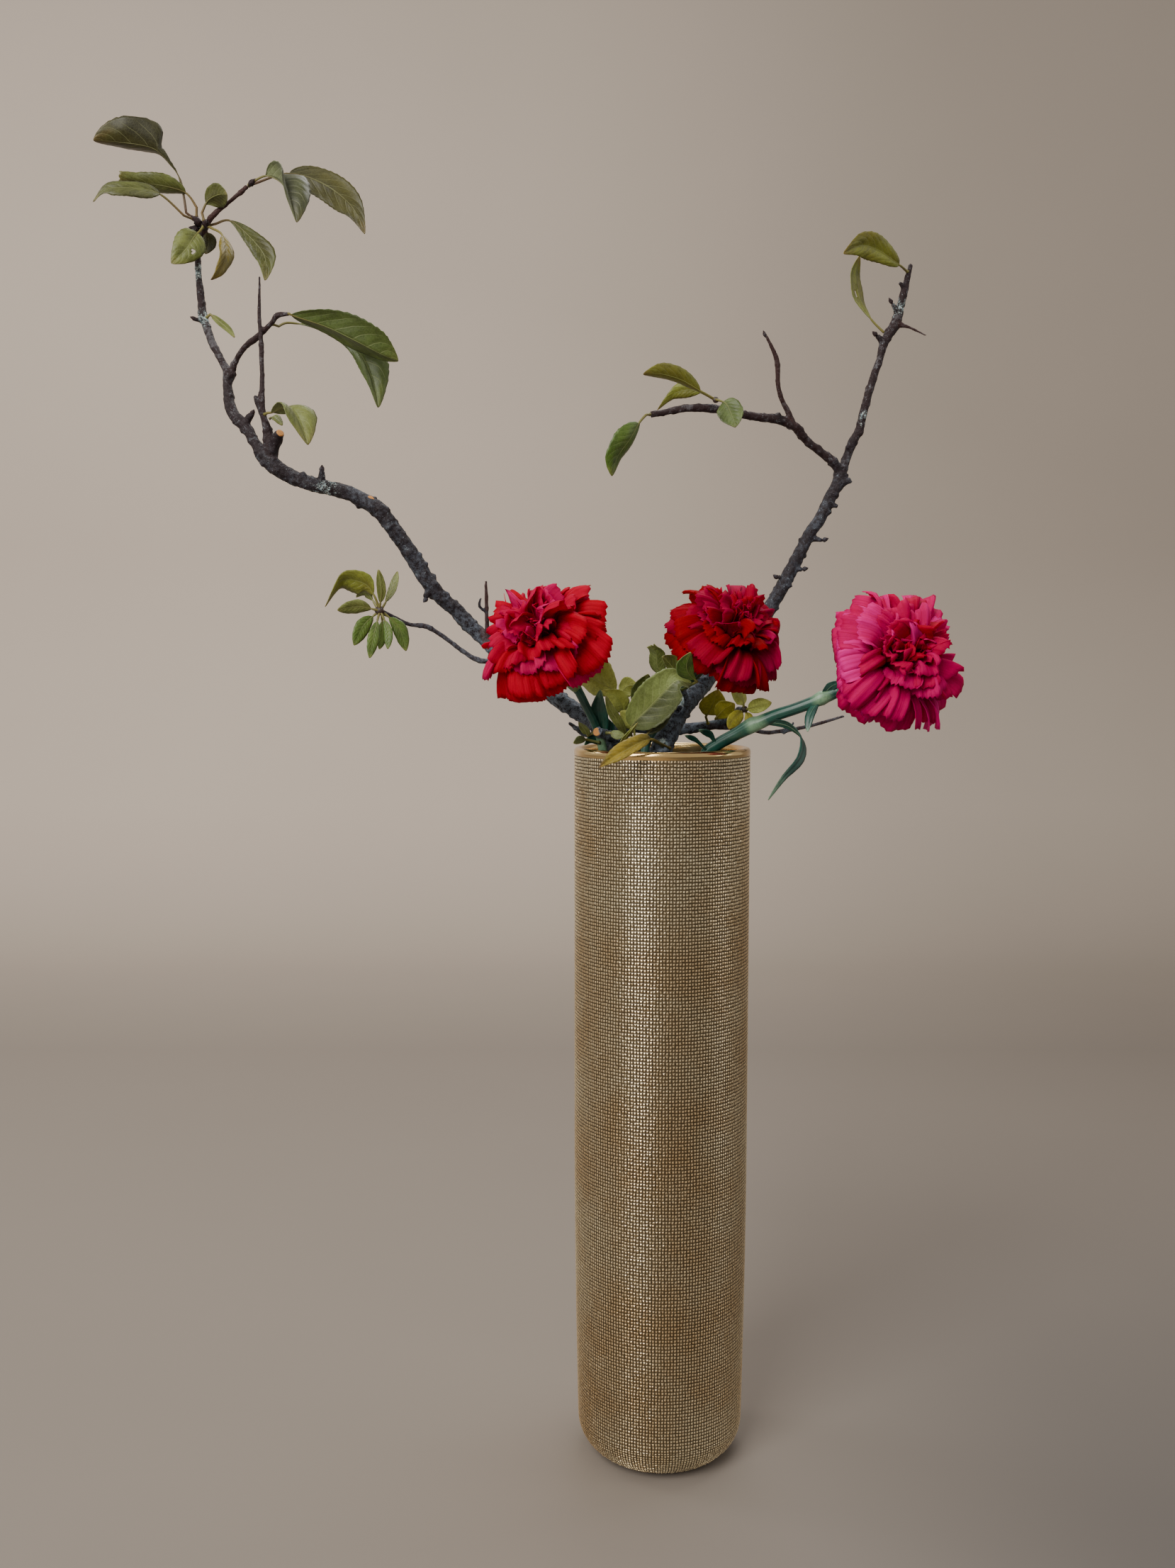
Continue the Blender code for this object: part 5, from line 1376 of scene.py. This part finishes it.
def makePetal(bloom, ring, number, rng):
    detail, look, radius, facing = petalDetail, bloom["look"], bloom["radius"], bloom["facing"]
    count, lean, reach, halfWidth, crumple = bloomRings[ring]
    columns, rows = detail["columns"], detail["rows"]
    turn = math.tau * (number + 0.5 * (ring % 2)) / count + bloom["seed"]
    turn += rng.uniform(-detail["turn"], detail["turn"])
    radial = Matrix.Rotation(turn, 3, facing) @ bloom["first"]
    across = facing.cross(radial).normalized()

    def toward(degrees):
        angle = math.radians(degrees)
        return radial * math.sin(angle) + facing * math.cos(angle)

    tilt = lean + rng.uniform(-detail["lean"], detail["lean"])
    size = radius * reach * rng.uniform(*detail["length"])
    width = radius * halfWidth * rng.uniform(*detail["width"])
    # up out of the calyx, then over and outward, so the blade's face is what shows
    path = [bloom["foot"], bloom["neck"] + radial * radius * detail["neckSpread"],
            bloom["centre"] + toward(tilt * 0.42) * size * 0.93, bloom["centre"] + toward(tilt + 9) * size]
    twist = rng.uniform(-detail["twist"], detail["twist"]) * crumple
    waves = [(rng.uniform(slow, fast), rng.uniform(0, 6), height) for slow, fast, height in detail["waves"]]
    curl = rng.uniform(*detail["curl"]) * crumple
    bright = rng.uniform(-detail["bright"], detail["bright"])
    flash = max(rng.uniform(*detail["flash"]), 0.0)
    notches = [rng.uniform(*detail["notch"]) for column in range(columns + 1)]
    piece = addSheet("petal", columns, rows)
    tints = []

    def place(column, row):
        u = 2 * column / columns - 1
        s = 1 - (1 - row / rows) ** 1.25
        r = 1 - s
        middle = (path[0] * r ** 3 + path[1] * 3 * s * r * r + path[2] * 3 * s * s * r
                  + path[3] * s ** 3)
        heading = ((path[1] - path[0]) * r * r + (path[2] - path[1]) * 2 * s * r
                   + (path[3] - path[2]) * s * s).normalized()
        normal = heading.cross(across).normalized()
        angle = twist * s
        sideways = across * math.cos(angle) + normal * math.sin(angle)
        outward = normal * math.cos(angle) - across * math.sin(angle)
        opening = min(max((s - 0.22) / 0.78, 0.0), 1.0) ** detail["fan"]
        spread = (1.1 + width * opening) * u
        ruffle = s ** 1.6 * crumple * sum(height * math.sin(u * rate * (0.7 + 0.3 * s) + start + s * 1.4)
                                          for rate, start, height in waves)
        lift = curl * max(s - 0.72, 0.0) * 3.5
        cup = -detail["cup"] * u * u * s
        edge = max(s - detail["edgeFrom"], 0.0) / 0.14
        tooth = detail["tooth"] * notches[column] * (0.5 if column % 2 else -0.5) * edge
        back = -radius * detail["roundEdge"] * abs(u) ** 2.4 * s
        shade = 0.5 + bright + 0.6 * noise.noise(Vector((u * 2, s * 2, number + ring)))
        outer = mixed(look["inner"], look["edge"], ring / 3.5 + bright)
        # painted shade: each petal darkens towards its foot, deep inside the bloom
        colour = mixed(look["heart"], outer, s * 1.5 - 0.5 + shade * 0.5)
        # painted highlight: on some petals the tips turn pale pink
        tints.append(mixed(colour, look["flash"], flash * (s * 2 - 1.2)))
        point = (middle + sideways * spread + heading * (tooth + back)
                 + outward * radius * (ruffle + lift + cup))
        return Vector(softLimit(value, least + 0.2, most - 0.2)
                      for value, least, most in zip(point, bloom["low"], bloom["high"]))

    shapeSheet(piece, columns, rows, place)
    storeColours(piece, "tint", tints)
    return piece


def makeBloom(name, flower):
    rng = random.Random(flower["seed"] * 17)
    node = "carnation_bloom_" + name
    look = bloomLooks[name]
    low, high = (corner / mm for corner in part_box(node))
    left, right, down, up = look["room"]    # how far petals may pass the plain bloom
    deep = petalDetail["deepRoom"]
    axis = Vector(flower["axis"]).normalized()
    radius = flower["radius"] * look["grow"]
    stemTop = Vector(flower["stem"][-1][:3])
    base = stemTop + axis * (petalDetail["baseRise"] + flower["radius"] * petalDetail["baseShare"])
    base += Vector(look["shift"])
    facing = (axis + Vector(look["face"])).normalized()
    bloom = {
        "look": look, "radius": radius, "seed": flower["seed"], "facing": facing,
        "first": facing.orthogonal().normalized(), "foot": stemTop + axis * petalDetail["footRise"],
        "neck": base + axis * radius * petalDetail["neck"],
        "centre": base + axis * radius * petalDetail["centre"],
        "low": [max(value - room, least / mm)
                for value, room, least in zip(low, (left, deep, down), cadLow)],
        "high": [min(value + room, most / mm)
                 for value, room, most in zip(high, (right, deep, up), cadHigh)],
    }
    piece = joinPieces([makePetal(bloom, ring, number, rng) for ring, settings in enumerate(bloomRings)
                        for number in range(settings[0])], camelName(node))
    applyModifier(piece, "SOLIDIFY", thickness=petalDetail["thickness"] * mm, offset=0.0)
    piece.data.shade_smooth()
    dress(piece, petalMaterial(name))
    finishPiece(piece, node)


stemLooks = {"red": {"thin": 0.82, "calyx": 0.74, "tone": tone(118, 138, 84)},
             "crimson": {"thin": 0.9, "calyx": 0.85, "tone": tone(34, 48, 26)},
             "magenta": {"thin": 1.12, "calyx": 1.0, "tone": tone(48, 104, 82)}}
# the calyx is a turned form of (radius, height), up the outside, over the lobes and down inside
calyx = {"outline": [(0.0, 1.5), (3.6, 2.2), (4.3, 3.4), (5.2, 6), (5.8, 9), (6.2, 12), (6.4, 14.5),
                     (6.2, 17), (5.7, 17), (5.7, 14.5), (5.4, 11), (4.6, 7), (3.2, 5), (0.0, 4.5)],
         "sides": 40, "rim": (7, 8), "lobe": 3.2, "flare": 0.5, "foot": 7.4}
stemDetail = {"step": 1.6, "sides": 18, "swellingFrom": 6.5}


def makeStem(name, flower):
    node = "carnation_stem_" + name
    look = leafLooks["stem"]
    own = stemLooks[name]
    axis = Vector(flower["axis"]).normalized()
    stemTop = Vector(flower["stem"][-1][:3])
    ends = flower["stem"] + [(*(stemTop + axis * 4), calyx["foot"])]
    stations = branchStations([(*point[:3], point[3] * own["thin"]) for point in ends], stemDetail["step"])
    stem = addTube(node, stations, stemDetail["sides"])
    swellings = [Vector(point[:3]) for point in flower["stem"] if point[3] > stemDetail["swellingFrom"]]

    def stemTint(point):
        shade = 0.5 + 0.8 * noise.noise(point / 11)
        colour = mixed(look["deep"], look["main"], shade)
        near = min(((point - centre).length for centre in swellings), default=99)
        return mixed(colour, look["tip"], (6.5 - near) / 3)

    def lobes(angle, row, radius, height):
        # five pointed lobes round the rim
        lobe = abs(math.cos(angle * 2.5))
        if row in calyx["rim"]:
            height += calyx["lobe"] * lobe - 1.2
            radius += calyx["flare"] * lobe
        return radius * (1 + 0.02 * math.cos(angle * 5)), height

    paint(stem, "tint", stemTint)
    outline = [(reach * own["calyx"], height) for reach, height in calyx["outline"]]
    cup = addTurned(node + "Calyx", outline, stemTop, axis, calyx["sides"], lobes)
    paint(cup, "tint", lambda point: mixed(own["tone"], look["main"], noise.noise(point / 6)))
    dress(stem, materials["stem"])
    dress(cup, materials["stem"])
    pieces = [stem, cup]
    for index, strap in enumerate(flower["straps"]):
        blade = makeBlade(f"{node}Strap{index}", strap, 200 + index + 10 * flower["seed"])
        for slot in blade.material_slots:
            slot.material = materials["stem"]
        pieces.append(blade)
    piece = joinPieces(pieces, camelName(node))
    piece.data.shade_smooth()
    finishPiece(piece, node)


groups["mottle"] = mottleGroup()
groups["veins"] = veinGroup()
materials = {"upper": leafMaterial("upper"), "under": leafMaterial("under"), "stalk": ribMaterial(),
             "bark": barkMaterial(), "cutWood": cutMaterial(), "stem": stemMaterial(),
             "water": waterMaterial()}
bpy.ops.object.select_all(action="DESELECT")

makeCamera()
makeStudio()
makeFloor()
print("camera, light and floor ready")
makeVase()
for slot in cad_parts["water"].material_slots:
    slot.material = materials["water"]
print("vase ready")
makeBough("left_bough", leftBough, random.Random(1))
makeBough("right_bough", rightBough, random.Random(2))
makeCutEnds()
makeBuds()
print("boughs ready")
makeLeaves()
print("leaves ready")
for name, flower in carnationShapes.items():
    makeStem(name, flower)
    makeBloom(name, flower)
print("carnations ready")
